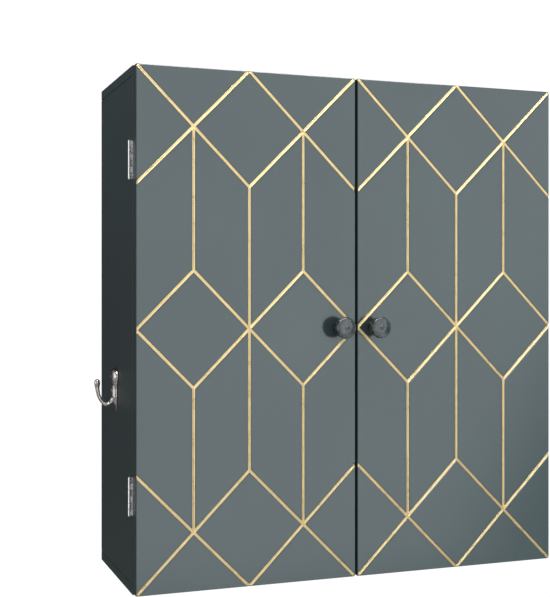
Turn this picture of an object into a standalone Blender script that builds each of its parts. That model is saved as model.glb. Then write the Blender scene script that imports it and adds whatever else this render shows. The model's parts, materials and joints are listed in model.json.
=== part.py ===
"""Dart board cabinet: a wall-hung box with two doors that shut over a bristle dart board.

The origin is at the centre of the back face, the face that goes against the wall.
+X is to the right, +Z is up and the doors face -Y. All sizes are in metres.
"""

import math

import bmesh
import bpy
from mathutils import Matrix, Vector
from mathutils.geometry import delaunay_2d_cdt

# ================================================================ driving sizes
FIT_GAP = 0.0003

# Dart board, and the room that the case leaves round it.
BOARD_DIAMETER = 0.4510
BOARD_SIDE_ROOM = 0.0368
BOARD_END_ROOM = 0.0675
BOARD_SISAL_THICKNESS = 0.0260
BOARD_BACKING_THICKNESS = 0.0100
BOARD_BAND_THICKNESS = 0.0015
BOARD_STAND_OFF = 0.0160
BOARD_RINGS = (0.0159, 0.0990, 0.1070, 0.1620, 0.1700)
BOARD_SECTORS = 20
BOARD_FACETS = 96
WIRE_WIDTH = 0.0014
WIRE_DEPTH = 0.0012
NUMBER_RING_WIRE = 0.0022
NUMBER_RING_INSET = 0.0180
PAD_RADIUS = 0.0120
PAD_INSET = 0.0250

# Case.
CASE_DEPTH = 0.1765
PANEL_THICKNESS = 0.0120
BACK_THICKNESS = 0.0080
EDGE_ROUND = 0.0008
RAIL_HEIGHT = 0.0500
RAIL_THICKNESS = 0.0150
WALL_HOLE_RADIUS = 0.0028
WALL_HOLE_INSET = 0.1000

# Doors.
DOOR_THICKNESS = 0.0160
DOOR_SEAM = 0.0016
DOOR_TOP_REVEAL = 0.0015
DOOR_BOTTOM_REVEAL = 0.0028
DOOR_CENTRE_GAP = 0.0030
GROOVE_DEPTH = 0.0023
INLAY_SINK = 0.00015
INLAY_WALL = 0.0003
INLAY_END_GAP = 0.0008

# Butt hinges, whose leaves are let into the door and the case edge.
HINGE_LENGTH = 0.0440
HINGE_SPACING = 0.3868
HINGE_RISE = 0.0024
HINGE_STAND_OFF = 0.0038
HINGE_LEAF_THICKNESS = 0.0008
HINGE_LEAF_REACH = 0.0080
HINGE_NECK = 0.0006
HINGE_PIN_RADIUS = 0.0005
HINGE_PIN_HEAD = 0.0004
HINGE_KNUCKLES = 6

# Knobs.
KNOB_DIAMETER = 0.0262
KNOB_PROJECTION = 0.0255
KNOB_INSET = 0.0216
KNOB_RISE = 0.0009
KNOB_FOOT_RADIUS = 0.0075
KNOB_STEM_RADIUS = 0.0056
KNOB_SCREW_RADIUS = 0.0014
KNOB_SCREW_HEAD_RADIUS = 0.0038
KNOB_SCREW_HEAD_HEIGHT = 0.0020
KNOB_SCREW_BITE = 0.0095

# Hooks on the side panels.
HOOK_HEIGHT = 0.0535
HOOK_WIDTH = 0.0240
HOOK_BODY_THICKNESS = 0.0072
HOOK_DROP = 0.0750
HOOK_SETBACK = 0.1020
HOOK_REACH = 0.0275
HOOK_SCREW_RADIUS = 0.0015
HOOK_SCREW_HEAD_RADIUS = 0.0032
HOOK_SCREW_HEAD_HEIGHT = 0.0012
HOOK_SCREW_BITE = 0.0080

# Magnetic catches and their strike plates.
CATCH_WIDTH = 0.0460
CATCH_HEIGHT = 0.0130
CATCH_DEPTH = 0.0150
CATCH_WALL = 0.0025
CATCH_SPREAD = 0.0450
MAGNET_WIDTH = 0.0300
MAGNET_SINK = 0.0002
STRIKE_WIDTH = 0.0380
STRIKE_HEIGHT = 0.0110
STRIKE_THICKNESS = 0.0010
BUMPER_RADIUS = 0.0038
BUMPER_THICKNESS = 0.0010
BUMPER_INSET = 0.0190

# Scoreboards and dart racks on the inside of the doors.
SCOREBOARD_THICKNESS = 0.0030
SCOREBOARD_MARGIN = 0.0065
FRAME_WIDTH = 0.0160
FRAME_LAP = 0.0042
FRAME_THICKNESS = 0.0080
RACK_WIDTH = 0.1600
RACK_DEPTH = 0.0320
RACK_THICKNESS = 0.0140
RACK_RISE = 0.0999
RACK_HOLE_RADIUS = 0.0045
RACK_HOLE_PITCH = 0.0500
RACK_HOLE_SETBACK = 0.0190
DART_ROOM = 0.0800

# Bracket that the dart board hangs on.
BRACKET_HEIGHT = 0.0600
BRACKET_WIDTH = 0.0840
BRACKET_WEB_WIDTH = 0.0320
BRACKET_TAB_WIDTH = 0.0200
BRACKET_SHEET = 0.0015
BRACKET_CLEARANCE = 0.0015
BRACKET_SCREW_RADIUS = 0.0015
BRACKET_SCREW_HEAD_RADIUS = 0.0034
BRACKET_SCREW_HEAD_HEIGHT = 0.0018
CENTRE_SCREW_RADIUS = 0.0022
CENTRE_SCREW_HEAD_RADIUS = 0.0048
CENTRE_SCREW_HEAD_HEIGHT = 0.0030
CENTRE_SCREW_BITE = 0.0160

# ================================================================ derived sizes
INNER_HALF_WIDTH = BOARD_DIAMETER / 2 + BOARD_SIDE_ROOM
INNER_HALF_HEIGHT = BOARD_DIAMETER / 2 + BOARD_END_ROOM
HALF_WIDTH = INNER_HALF_WIDTH + PANEL_THICKNESS
HALF_HEIGHT = INNER_HALF_HEIGHT + PANEL_THICKNESS
CASE_FRONT = -CASE_DEPTH
BACK_INSIDE = -BACK_THICKNESS - FIT_GAP

SEAM_Y = CASE_FRONT - DOOR_SEAM / 2
DOOR_BACK = CASE_FRONT - DOOR_SEAM
DOOR_FRONT = DOOR_BACK - DOOR_THICKNESS
DOOR_FITTING = DOOR_BACK + FIT_GAP
DOOR_TOP = HALF_HEIGHT - DOOR_TOP_REVEAL
DOOR_BOTTOM = -HALF_HEIGHT + DOOR_BOTTOM_REVEAL
DOOR_HEIGHT = DOOR_TOP - DOOR_BOTTOM
DOOR_MIDDLE = (DOOR_TOP + DOOR_BOTTOM) / 2
DOOR_EDGE = DOOR_CENTRE_GAP / 2
DOOR_WIDTH = HALF_WIDTH - DOOR_EDGE

BOARD_RADIUS = BOARD_DIAMETER / 2
BOARD_BACK = -BACK_THICKNESS - BOARD_STAND_OFF
SISAL_BACK = BOARD_BACK - BOARD_BACKING_THICKNESS - FIT_GAP
BOARD_FACE = SISAL_BACK - BOARD_SISAL_THICKNESS
CATCH_TOP = INNER_HALF_HEIGHT - FIT_GAP
STRIKE_Z = CATCH_TOP - CATCH_HEIGHT / 2
HINGE_CURL_RADIUS = HINGE_PIN_RADIUS + FIT_GAP + HINGE_LEAF_THICKNESS / 2

# Smallest turn, span and step that count as real.
PARALLEL_TURN = 1e-9
MERGE_SPAN = 1e-6
FLUSH_STEP = 1e-7

SIDES = {"left": -1, "right": 1}
LEVELS = {"upper": 1, "lower": -1}

# Colour, roughness and metallic value of each finish.
FINISHES = {
    "door_lacquer": ((0.120, 0.145, 0.150), 0.45, 0.0),
    "case_lacquer": ((0.105, 0.130, 0.136), 0.50, 0.0),
    "black_lining": ((0.018, 0.019, 0.020), 0.75, 0.0),
    "rail_wood": ((0.240, 0.160, 0.090), 0.65, 0.0),
    "gold": ((0.830, 0.640, 0.330), 0.28, 1.0),
    "nickel": ((0.620, 0.610, 0.580), 0.25, 1.0),
    "pewter": ((0.260, 0.255, 0.245), 0.38, 1.0),
    "steel": ((0.450, 0.450, 0.450), 0.35, 1.0),
    "knob_lacquer": ((0.085, 0.102, 0.108), 0.25, 0.0),
    "chalk_board": ((0.025, 0.030, 0.030), 0.85, 0.0),
    "rubber": ((0.030, 0.030, 0.030), 0.80, 0.0),
    "catch_plastic": ((0.550, 0.540, 0.510), 0.50, 0.0),
    "ferrite": ((0.050, 0.050, 0.055), 0.60, 0.0),
    "sisal": ((0.060, 0.055, 0.045), 0.95, 0.0),
    "chipboard": ((0.330, 0.240, 0.150), 0.85, 0.0),
    "band_steel": ((0.060, 0.060, 0.062), 0.45, 1.0),
    "wire_steel": ((0.560, 0.560, 0.550), 0.30, 1.0),
}

# Hook body from its lower tip to its head: share of the height, of the half width and
# of the body's thickness.
HOOK_BODY = (
    (0.00, 0.08, 0.12), (0.06, 0.20, 0.18), (0.14, 0.30, 0.30), (0.22, 0.50, 0.62),
    (0.32, 0.62, 0.90), (0.45, 0.60, 0.92), (0.58, 0.66, 0.94), (0.68, 0.84, 0.98),
    (0.80, 1.00, 1.00), (0.90, 0.86, 0.92), (0.97, 0.50, 0.62), (1.00, 0.18, 0.30),
)
# Hook prong from the body to its tip: share of the reach, share of the height, radius.
HOOK_PRONG = (
    (0.16, 0.265, 0.0034), (0.25, 0.205, 0.0031), (0.37, 0.165, 0.0028), (0.52, 0.180, 0.0026),
    (0.68, 0.255, 0.0025), (0.79, 0.365, 0.0024), (0.84, 0.480, 0.0025), (0.86, 0.570, 0.0028),
    (0.86, 0.620, 0.0035), (0.86, 0.670, 0.0038), (0.86, 0.715, 0.0030), (0.86, 0.738, 0.0013),
)
# Knob from the door outwards: share of the knob's radius, share of its projection.
KNOB_HEAD = (
    (0.50, 0.50), (0.66, 0.56), (0.88, 0.63), (0.975, 0.69), (1.00, 0.76), (0.975, 0.84),
    (0.90, 0.90), (0.78, 0.94), (0.55, 0.97), (0.28, 0.992),
)


# ================================================================ mesh helpers
def make_finishes():
    for name, (colour, roughness, metallic) in FINISHES.items():
        finish = bpy.data.materials.new(name)
        finish.use_nodes = True
        shader = finish.node_tree.nodes["Principled BSDF"]
        shader.inputs["Base Color"].default_value = (*colour, 1.0)
        shader.inputs["Roughness"].default_value = roughness
        shader.inputs["Metallic"].default_value = metallic
        finish.diffuse_color = (*colour, 1.0)


def link_mesh(name, verts, faces, finish=None, smooth=False, sharp_angle=40.0):
    """One named object from vertices and faces, with its normals facing out."""
    mesh = bpy.data.meshes.new(name)
    mesh.from_pydata([tuple(vert) for vert in verts], [], faces)
    shell = bmesh.new()
    shell.from_mesh(mesh)
    bmesh.ops.recalc_face_normals(shell, faces=shell.faces)
    shell.to_mesh(mesh)
    shell.free()
    if finish:
        mesh.materials.append(bpy.data.materials[finish])
    if smooth:
        mesh.shade_smooth()
        mesh.set_sharp_from_angle(angle=math.radians(sharp_angle))
    piece = bpy.data.objects.new(name, mesh)
    bpy.context.scene.collection.objects.link(piece)
    return piece


def box(name, corner, far_corner, finish=None):
    """Box between any two opposite corners."""
    low = [min(pair) for pair in zip(corner, far_corner)]
    high = [max(pair) for pair in zip(corner, far_corner)]
    verts = [(x, y, z) for x in (low[0], high[0]) for y in (low[1], high[1]) for z in (low[2], high[2])]
    faces = [(0, 1, 3, 2), (4, 6, 7, 5), (0, 4, 5, 1), (2, 3, 7, 6), (0, 2, 6, 4), (1, 5, 7, 3)]
    return link_mesh(name, verts, faces, finish)


def board(name, corner, far_corner, finish):
    """Lacquered board with its edges eased."""
    piece = box(name, corner, far_corner, finish)
    easing = piece.modifiers.new("eased_edges", "BEVEL")
    easing.width = EDGE_ROUND
    easing.segments = 2
    return piece


def bridge(loops, closed_loops=True, closed_ends=False):
    """Quads between rows of vertex numbers; a row of one number is a pole."""
    faces = []
    pairs = list(zip(loops, loops[1:]))
    if closed_ends:
        pairs.append((loops[-1], loops[0]))
    for lower, upper in pairs:
        count = max(len(lower), len(upper))
        for step in range(count if closed_loops else count - 1):
            after = (step + 1) % count
            if len(lower) == 1:
                faces.append((lower[0], upper[after], upper[step]))
            elif len(upper) == 1:
                faces.append((lower[step], lower[after], upper[0]))
            else:
                faces.append((lower[step], lower[after], upper[after], upper[step]))
    return faces


def turned(name, profile, origin, axis, finish=None, count=24, hollow=False):
    """Turned body; the profile is (radius, height along the axis) pairs.

    A profile that starts and ends on the axis is a solid; a hollow one joins its ends.
    """
    forward = Vector(axis).normalized()
    across = Vector((0, 0, 1)) if abs(forward.z) < 0.9 else Vector((1, 0, 0))
    first = across.cross(forward).normalized()
    second = forward.cross(first).normalized()
    verts = []
    rings = []
    for radius, height in profile:
        centre = Vector(origin) + forward * height
        steps = count if radius > 0 else 1
        ring = []
        for step in range(steps):
            turn = 2 * math.pi * step / steps
            ring.append(len(verts))
            verts.append(centre + (first * math.cos(turn) + second * math.sin(turn)) * radius)
        rings.append(ring)
    return link_mesh(name, verts, bridge(rings, closed_ends=hollow), finish, smooth=bool(finish))


def cut(target, cutter, operation="DIFFERENCE"):
    """Exact Boolean with a hidden cutter."""
    cutter.hide_render = True
    cutter.display_type = "WIRE"
    step = target.modifiers.new("cut", "BOOLEAN")
    step.operation = operation
    step.solver = "EXACT"
    step.object = cutter


def bore(target, label, origin, axis, radius, depth, count=16):
    profile = ((0, 0), (radius, 0), (radius, depth), (0, depth))
    cut(target, turned("bore_" + label, profile, origin, axis, count=count))


def screw(name, origin, axis, head, shank, finish="steel"):
    """Domed screw; head and shank are (radius, length) and the axis points out of the head."""
    head_radius, head_height = head
    shank_radius, shank_length = shank
    profile = (
        (0, -shank_length),
        (shank_radius, -shank_length + shank_radius),
        (shank_radius, 0),
        (head_radius, 0),
        (head_radius, 0.35 * head_height),
        (0.72 * head_radius, 0.82 * head_height),
        (0, head_height),
    )
    return turned(name, profile, origin, axis, finish, count=12)


def hang(piece, pivot):
    """Parent to a pivot without moving the piece."""
    piece.parent = pivot
    piece.matrix_parent_inverse = Matrix.Translation(-pivot.location)


# ================================================================ case
def build_case():
    inner_x = INNER_HALF_WIDTH - FIT_GAP
    inner_z = INNER_HALF_HEIGHT - FIT_GAP
    panels = {
        "top": board("top_panel", (-HALF_WIDTH, CASE_FRONT, INNER_HALF_HEIGHT),
                     (HALF_WIDTH, 0, HALF_HEIGHT), "case_lacquer"),
        "bottom": board("bottom_panel", (-HALF_WIDTH, CASE_FRONT, -HALF_HEIGHT),
                        (HALF_WIDTH, 0, -INNER_HALF_HEIGHT), "case_lacquer"),
        "back": box("back_panel", (-inner_x, -BACK_THICKNESS, -inner_z),
                    (inner_x, 0, inner_z), "black_lining"),
    }
    for side, sign in SIDES.items():
        panels[side] = board(side + "_side_panel", (sign * INNER_HALF_WIDTH, CASE_FRONT, -inner_z),
                             (sign * HALF_WIDTH, 0, inner_z), "case_lacquer")
    rail = box("hanging_rail", (-inner_x, BACK_INSIDE - RAIL_THICKNESS, inner_z - RAIL_HEIGHT),
               (inner_x, BACK_INSIDE, inner_z), "rail_wood")
    hole_depth = BACK_THICKNESS + RAIL_THICKNESS + 4 * FIT_GAP
    for side, sign in SIDES.items():
        spot = (sign * (INNER_HALF_WIDTH - WALL_HOLE_INSET), FIT_GAP, inner_z - RAIL_HEIGHT / 2)
        bore(rail, "rail_" + side, spot, (0, -1, 0), WALL_HOLE_RADIUS, hole_depth)
        bore(panels["back"], "wall_" + side, spot, (0, -1, 0), WALL_HOLE_RADIUS, hole_depth)
    return panels


# ================================================================ door lattice
def lattice_lines():
    """Grooves on one door, from its centre: start, end, and whether each end runs off.

    Every diagonal is at 45 degrees, so crossings are a quarter of the door's width apart.
    """
    step = DOOR_WIDTH / 4
    half = DOOR_HEIGHT / 2
    lines = []
    for end in (1, -1):
        edge = end * half
        knot = end * (half - 2 * step)
        for left in (-2 * step, 0):
            right = left + 2 * step
            lines.append(((left, edge), (right, knot), True, right > step))
            lines.append(((right, edge), (left, knot), True, left < -step))
        for column in (-step, step):
            lines.append(((column, end * (half - step)), (column, end * step), False, False))
            lines.append(((column, end * step), (2 * column, 0), False, True))
    lines.append(((-step, step), (step, -step), False, False))
    lines.append(((-step, -step), (step, step), False, False))
    lines.append(((0, half - 2 * step), (0, 2 * step - half), False, False))
    return lines


def crossings(strips):
    """Where strips meet, with the directions that they run in there."""
    spots = []
    for index, (start, end) in enumerate(strips):
        for other_start, other_end in strips[index + 1:]:
            way = end - start
            other_way = other_end - other_start
            turn = way.cross(other_way)
            if abs(turn) < PARALLEL_TURN:
                continue
            between = other_start - start
            here = between.cross(other_way) / turn
            there = between.cross(way) / turn
            if all(-MERGE_SPAN <= share <= 1 + MERGE_SPAN for share in (here, there)):
                spots.append((start + way * here, way.normalized(), other_way.normalized()))
    return spots


def lattice_plan(strips, reaches, window):
    """Triangles of the lattice seen from the front, split along every crease and rim.

    Each strip is as wide as its reach on both sides and past both ends.
    """
    points = []
    edges = []

    def segment(*spots):
        edges.append((len(points), len(points) + 1))
        points.extend(spots)

    widest = max(reaches)
    for start, end in strips:
        along = (end - start).normalized()
        across = Vector((-along.y, along.x))
        segment(start, end)
        for spot, out in ((start, -along), (end, along)):
            segment(spot, spot + (out + across) * widest)
            segment(spot, spot + (out - across) * widest)
        for reach in reaches:
            rim = [start + (across - along) * reach, start - (across + along) * reach,
                   end + (along - across) * reach, end + (along + across) * reach]
            for corner in range(4):
                segment(rim[corner - 1], rim[corner])
    for spot, way, other_way in crossings(strips):
        for first in (way, -way):
            for second in (other_way, -other_way):
                half_turn = first.angle(second) / 2
                mitre = (first + second).normalized() * widest / math.sin(half_turn)
                segment(spot, spot + mitre)
    if window:
        low, high = window
        rim = [Vector(low), Vector((high[0], low[1])), Vector(high), Vector((low[0], high[1]))]
        for corner in range(4):
            segment(rim[corner - 1], rim[corner])
    spots, _, triangles, _, _, _ = delaunay_2d_cdt(points, edges, [], 0, MERGE_SPAN)
    return spots, triangles


def lattice_body(name, centre, depth, level, wall=None, window=None, finish=None):
    """The V strips of one door as one body, from a level down to their roots.

    The walls of each strip stand at 45 degrees and its ends are hipped, so strips meet
    in mitres. A wall makes the body a trough of that depth instead of a solid.
    """
    run_off = 4 * GROOVE_DEPTH
    strips = []
    for start, end, start_runs_off, end_runs_off in lattice_lines():
        along = (Vector(end) - Vector(start)).normalized()
        strips.append((Vector(start) - along * (run_off if start_runs_off else 0),
                       Vector(end) + along * (run_off if end_runs_off else 0)))

    def distance(spot):
        nearest = []
        for start, end in strips:
            along = (end - start).normalized()
            here = (spot - start).dot(along)
            aside = abs((spot - start).cross(along))
            nearest.append(max(aside, -here, here - (end - start).length))
        return min(nearest)

    reach = depth - level
    reaches = [reach] + ([reach - wall] if wall else [])
    spots, plan = lattice_plan(strips, reaches, window)
    triangles = []
    for triangle in plan:
        middle = sum((spots[corner] for corner in triangle), Vector((0, 0))) / 3
        inside = distance(middle) < reach
        if window and inside:
            inside = all(window[0][way] < middle[way] < window[1][way] for way in (0, 1))
        if inside:
            triangles.append(triangle)

    verts = []
    skins = {}
    for index in sorted({corner for triangle in triangles for corner in triangle}):
        spot = spots[index]
        away = distance(spot)
        root = max(level, depth - away)
        face = max(level, depth - wall - away) if wall else level
        x, z = centre + spot.x, DOOR_MIDDLE + spot.y
        first = len(verts)
        verts.append((x, DOOR_FRONT + root, z))
        if root - face > FLUSH_STEP:
            verts.append((x, DOOR_FRONT + face, z))
        skins[index] = (first, len(verts) - 1)
    faces = []
    rims = set()
    for triangle in triangles:
        for skin in (0, 1):
            faces.append(tuple(skins[corner][skin] for corner in triangle))
        for step, corner in enumerate(triangle):
            edge = (triangle[step - 1], corner)
            if edge[::-1] in rims:
                rims.remove(edge[::-1])
            else:
                rims.add(edge)
    for first, second in sorted(rims):
        rim = [skins[first][0], skins[second][0]]
        rim.extend(skins[corner][1] for corner in (second, first) if skins[corner][1] != skins[corner][0])
        if len(rim) > 2:
            faces.append(tuple(rim))
    return link_mesh(name, verts, faces, finish)


def build_door_panel(side, sign):
    inner = sign * DOOR_EDGE
    outer = sign * HALF_WIDTH
    centre = (inner + outer) / 2
    door = board(side + "_door_panel", (inner, DOOR_FRONT, DOOR_BOTTOM),
                 (outer, DOOR_BACK, DOOR_TOP), "door_lacquer")
    cut(door, lattice_body("groove_" + side, centre, GROOVE_DEPTH, -GROOVE_DEPTH / 2))

    slant = math.sqrt(2)
    across = DOOR_WIDTH / 2 - INLAY_END_GAP
    up = DOOR_HEIGHT / 2 - INLAY_END_GAP
    inlay = lattice_body(side + "_gold_inlay", centre, GROOVE_DEPTH - FIT_GAP * slant, INLAY_SINK,
                         INLAY_WALL * slant, ((-across, -up), (across, up)), "gold")
    return door, inlay


# ================================================================ hinges
def leaf_path(facing):
    """Middle line of a leaf: its flat plate, the neck, then the curl round the pin.

    Distances are from the pin, x away from the cabinet; facing is -1 for the door leaf
    and +1 for the case leaf.
    """
    offset = FIT_GAP / 2 + HINGE_LEAF_THICKNESS / 2
    neck = HINGE_CURL_RADIUS + HINGE_LEAF_THICKNESS / 2 + HINGE_NECK
    path = [(-HINGE_STAND_OFF - HINGE_LEAF_REACH, offset), (-HINGE_STAND_OFF, offset), (-neck, offset)]
    tangent = math.acos(HINGE_CURL_RADIUS / math.hypot(neck, offset))
    begin = math.pi - math.atan2(offset, neck) - tangent
    finish = math.radians(-165)
    steps = 10
    for step in range(steps + 1):
        turn = begin + (finish - begin) * step / steps
        path.append((HINGE_CURL_RADIUS * math.cos(turn), HINGE_CURL_RADIUS * math.sin(turn)))
    return [Vector((x, y * facing)) for x, y in path]


def beside(path, distance):
    """The path shifted sideways by a distance."""
    shifted = []
    for index, here in enumerate(path):
        ways = []
        if index > 0:
            ways.append((here - path[index - 1]).normalized())
        if index + 1 < len(path):
            ways.append((path[index + 1] - here).normalized())
        mean = sum(ways, Vector((0, 0))).normalized()
        normal = Vector((-mean.y, mean.x))
        shifted.append(here + normal * distance / mean.dot(ways[0]))
    return shifted


def knuckle_rows():
    """Heights along a hinge, and for each row between them its knuckle's number or None."""
    pitch = HINGE_LENGTH / HINGE_KNUCKLES
    heights = [-HINGE_LENGTH / 2]
    rows = []
    for number in range(HINGE_KNUCKLES):
        rows.append(number)
        top = heights[0] + (number + 1) * pitch
        if number + 1 < HINGE_KNUCKLES:
            heights.extend((top - FIT_GAP / 2, top + FIT_GAP / 2))
            rows.append(None)
        else:
            heights.append(top)
    return heights, rows


def hinge_leaf(name, sign, centre_z, facing, parity):
    """A plate over the whole length, with every second knuckle curled round the pin."""
    path = leaf_path(facing)
    skins = (beside(path, HINGE_LEAF_THICKNESS / 2), beside(path, -HINGE_LEAF_THICKNESS / 2))
    heights, rows = knuckle_rows()
    numbers = {}
    verts = []
    faces = []

    def solid(column, row):
        if not (0 <= column < len(path) - 1 and 0 <= row < len(rows)):
            return False
        return column == 0 or (rows[row] is not None and rows[row] % 2 == parity)

    def corner(column, skin, row):
        key = (column, skin, row)
        if key not in numbers:
            numbers[key] = len(verts)
            spot = skins[skin][column]
            pin_x = HALF_WIDTH + HINGE_STAND_OFF
            verts.append((sign * (pin_x + spot.x), SEAM_Y + spot.y, centre_z + heights[row]))
        return numbers[key]

    for column in range(len(path) - 1):
        for row in range(len(rows)):
            if not solid(column, row):
                continue
            for skin in (0, 1):
                faces.append((corner(column, skin, row), corner(column + 1, skin, row),
                              corner(column + 1, skin, row + 1), corner(column, skin, row + 1)))
            for edge, beyond in ((column, column - 1), (column + 1, column + 1)):
                if not solid(beyond, row):
                    faces.append((corner(edge, 0, row), corner(edge, 1, row),
                                  corner(edge, 1, row + 1), corner(edge, 0, row + 1)))
            for edge, beyond in ((row, row - 1), (row + 1, row + 1)):
                if not solid(column, beyond):
                    faces.append((corner(column, 0, edge), corner(column + 1, 0, edge),
                                  corner(column + 1, 1, edge), corner(column, 1, edge)))
    return link_mesh(name, verts, faces, "nickel", smooth=True, sharp_angle=30)


def build_hinge(side, sign, level, end, case_panel, door_panel):
    """Both leaves, the pin and the mortises; returns the leaf that moves with the door."""
    label = side + "_" + level
    centre_z = HINGE_RISE + end * HINGE_SPACING / 2
    door_parity = 0 if end > 0 else 1
    door_leaf = hinge_leaf(label + "_hinge_door_leaf", sign, centre_z, -1, door_parity)
    hinge_leaf(label + "_hinge_case_leaf", sign, centre_z, 1, 1 - door_parity)

    half = HINGE_LENGTH / 2
    neck = half + FIT_GAP
    rim = HINGE_CURL_RADIUS + HINGE_LEAF_THICKNESS / 4
    profile = (
        (0, -neck - HINGE_PIN_HEAD), (0.7 * rim, -neck - HINGE_PIN_HEAD), (rim, -neck),
        (HINGE_PIN_RADIUS, -neck), (HINGE_PIN_RADIUS, neck),
        (rim, neck), (0.7 * rim, neck + HINGE_PIN_HEAD), (0, neck + HINGE_PIN_HEAD),
    )
    pin_x = sign * (HALF_WIDTH + HINGE_STAND_OFF)
    turned(label + "_hinge_pin", profile, (pin_x, SEAM_Y, centre_z), (0, 0, 1), "nickel", count=12)

    sunk = FIT_GAP / 2 + HINGE_LEAF_THICKNESS + FIT_GAP
    inner_x = sign * (HALF_WIDTH - HINGE_LEAF_REACH - FIT_GAP)
    outer_x = sign * (HALF_WIDTH + FIT_GAP)
    for panel, part, depth in ((door_panel, "door", -sunk), (case_panel, "case", sunk)):
        cut(panel, box(part + "_mortise_" + label, (inner_x, SEAM_Y, centre_z - neck),
                       (outer_x, SEAM_Y + depth, centre_z + neck)))
    return door_leaf


# ================================================================ door fittings
def build_knob(side, sign, door_panel):
    spot = (sign * (DOOR_EDGE + KNOB_INSET), DOOR_FRONT, KNOB_RISE)
    radius = KNOB_DIAMETER / 2
    bite = KNOB_SCREW_BITE + 5 * FIT_GAP
    hole = KNOB_SCREW_RADIUS + FIT_GAP
    profile = [(0, bite), (hole, bite), (hole, FIT_GAP), (KNOB_FOOT_RADIUS, FIT_GAP)]
    profile.append((0.96 * KNOB_FOOT_RADIUS, 0.10 * KNOB_PROJECTION))
    profile.append((KNOB_STEM_RADIUS + FIT_GAP, 0.26 * KNOB_PROJECTION))
    profile.append((KNOB_STEM_RADIUS, 0.40 * KNOB_PROJECTION))
    profile.extend((share * radius, height * KNOB_PROJECTION) for share, height in KNOB_HEAD)
    profile.append((0, KNOB_PROJECTION))
    knob = turned(side + "_knob", profile, spot, (0, -1, 0), "knob_lacquer", count=32)
    bore(door_panel, "knob_" + side, (spot[0], DOOR_BACK + FIT_GAP, spot[2]), (0, -1, 0),
         hole, DOOR_THICKNESS + 2 * FIT_GAP)
    fixing = screw(side + "_knob_screw", (spot[0], DOOR_FITTING, spot[2]), (0, 1, 0),
                   (KNOB_SCREW_HEAD_RADIUS, KNOB_SCREW_HEAD_HEIGHT),
                   (KNOB_SCREW_RADIUS, DOOR_THICKNESS + FIT_GAP + KNOB_SCREW_BITE))
    return [knob, fixing]


def build_catch(side, sign):
    """Catch under the top panel; returns the strike plate, which is on the door."""
    x = sign * CATCH_SPREAD
    half = CATCH_WIDTH / 2
    low = CATCH_TOP - CATCH_HEIGHT
    back = CASE_FRONT + CATCH_DEPTH
    housing = box(side + "_catch_housing", (x - half, CASE_FRONT, low),
                  (x + half, back, CATCH_TOP), "catch_plastic")
    pocket = MAGNET_WIDTH / 2 + FIT_GAP
    cut(housing, box("catch_pocket_" + side, (x - pocket, CASE_FRONT - FIT_GAP, low + CATCH_WALL - FIT_GAP),
                     (x + pocket, back - CATCH_WALL, CATCH_TOP - CATCH_WALL + FIT_GAP)))
    box(side + "_catch_magnet", (x - MAGNET_WIDTH / 2, CASE_FRONT + MAGNET_SINK, low + CATCH_WALL),
        (x + MAGNET_WIDTH / 2, back - CATCH_WALL - FIT_GAP, CATCH_TOP - CATCH_WALL), "ferrite")
    return box(side + "_strike_plate", (x - STRIKE_WIDTH / 2, DOOR_FITTING, STRIKE_Z - STRIKE_HEIGHT / 2),
               (x + STRIKE_WIDTH / 2, DOOR_FITTING + STRIKE_THICKNESS, STRIKE_Z + STRIKE_HEIGHT / 2), "steel")


def build_scoreboard(side, sign):
    """Chalk board in a rebated frame, between the knob screw, the catch and the rack."""
    near = DOOR_EDGE + KNOB_INSET + KNOB_SCREW_HEAD_RADIUS + SCOREBOARD_MARGIN
    far = INNER_HALF_WIDTH - SCOREBOARD_MARGIN
    low = DOOR_BOTTOM + RACK_RISE + DART_ROOM
    high = STRIKE_Z - STRIKE_HEIGHT / 2 - 2 * SCOREBOARD_MARGIN
    centre = sign * (near + far) / 2
    half = (far - near) / 2
    rebate = FRAME_WIDTH - FRAME_LAP
    seat = DOOR_FITTING + SCOREBOARD_THICKNESS
    chalk = box(side + "_scoreboard", (centre - half + rebate, DOOR_FITTING, low + rebate),
                (centre + half - rebate, seat, high - rebate), "chalk_board")
    verts = []
    loops = []
    for inset, y in ((0, DOOR_FITTING), (0, DOOR_FITTING + FRAME_THICKNESS),
                     (FRAME_WIDTH, DOOR_FITTING + FRAME_THICKNESS), (FRAME_WIDTH, seat + FIT_GAP),
                     (rebate - FIT_GAP, seat + FIT_GAP), (rebate - FIT_GAP, DOOR_FITTING)):
        loops.append(range(len(verts), len(verts) + 4))
        left, right = centre - half + inset, centre + half - inset
        bottom, top = low + inset, high - inset
        verts.extend(((left, y, bottom), (right, y, bottom), (right, y, top), (left, y, top)))
    frame = link_mesh(side + "_scoreboard_frame", verts, bridge(loops, closed_ends=True), "case_lacquer")
    return [chalk, frame]


def build_rack(side, sign):
    centre = sign * (DOOR_EDGE + KNOB_INSET + INNER_HALF_WIDTH) / 2
    z = DOOR_BOTTOM + RACK_RISE
    half = RACK_THICKNESS / 2
    rack = board(side + "_dart_rack", (centre - RACK_WIDTH / 2, DOOR_FITTING, z - half),
                 (centre + RACK_WIDTH / 2, DOOR_FITTING + RACK_DEPTH, z + half), "case_lacquer")
    for number in (-1, 0, 1):
        spot = (centre + number * RACK_HOLE_PITCH, DOOR_FITTING + RACK_HOLE_SETBACK, z - half - FIT_GAP)
        bore(rack, "%s_rack_%d" % (side, number + 2), spot, (0, 0, 1), RACK_HOLE_RADIUS,
             RACK_THICKNESS + 2 * FIT_GAP, count=20)
    return rack


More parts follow.
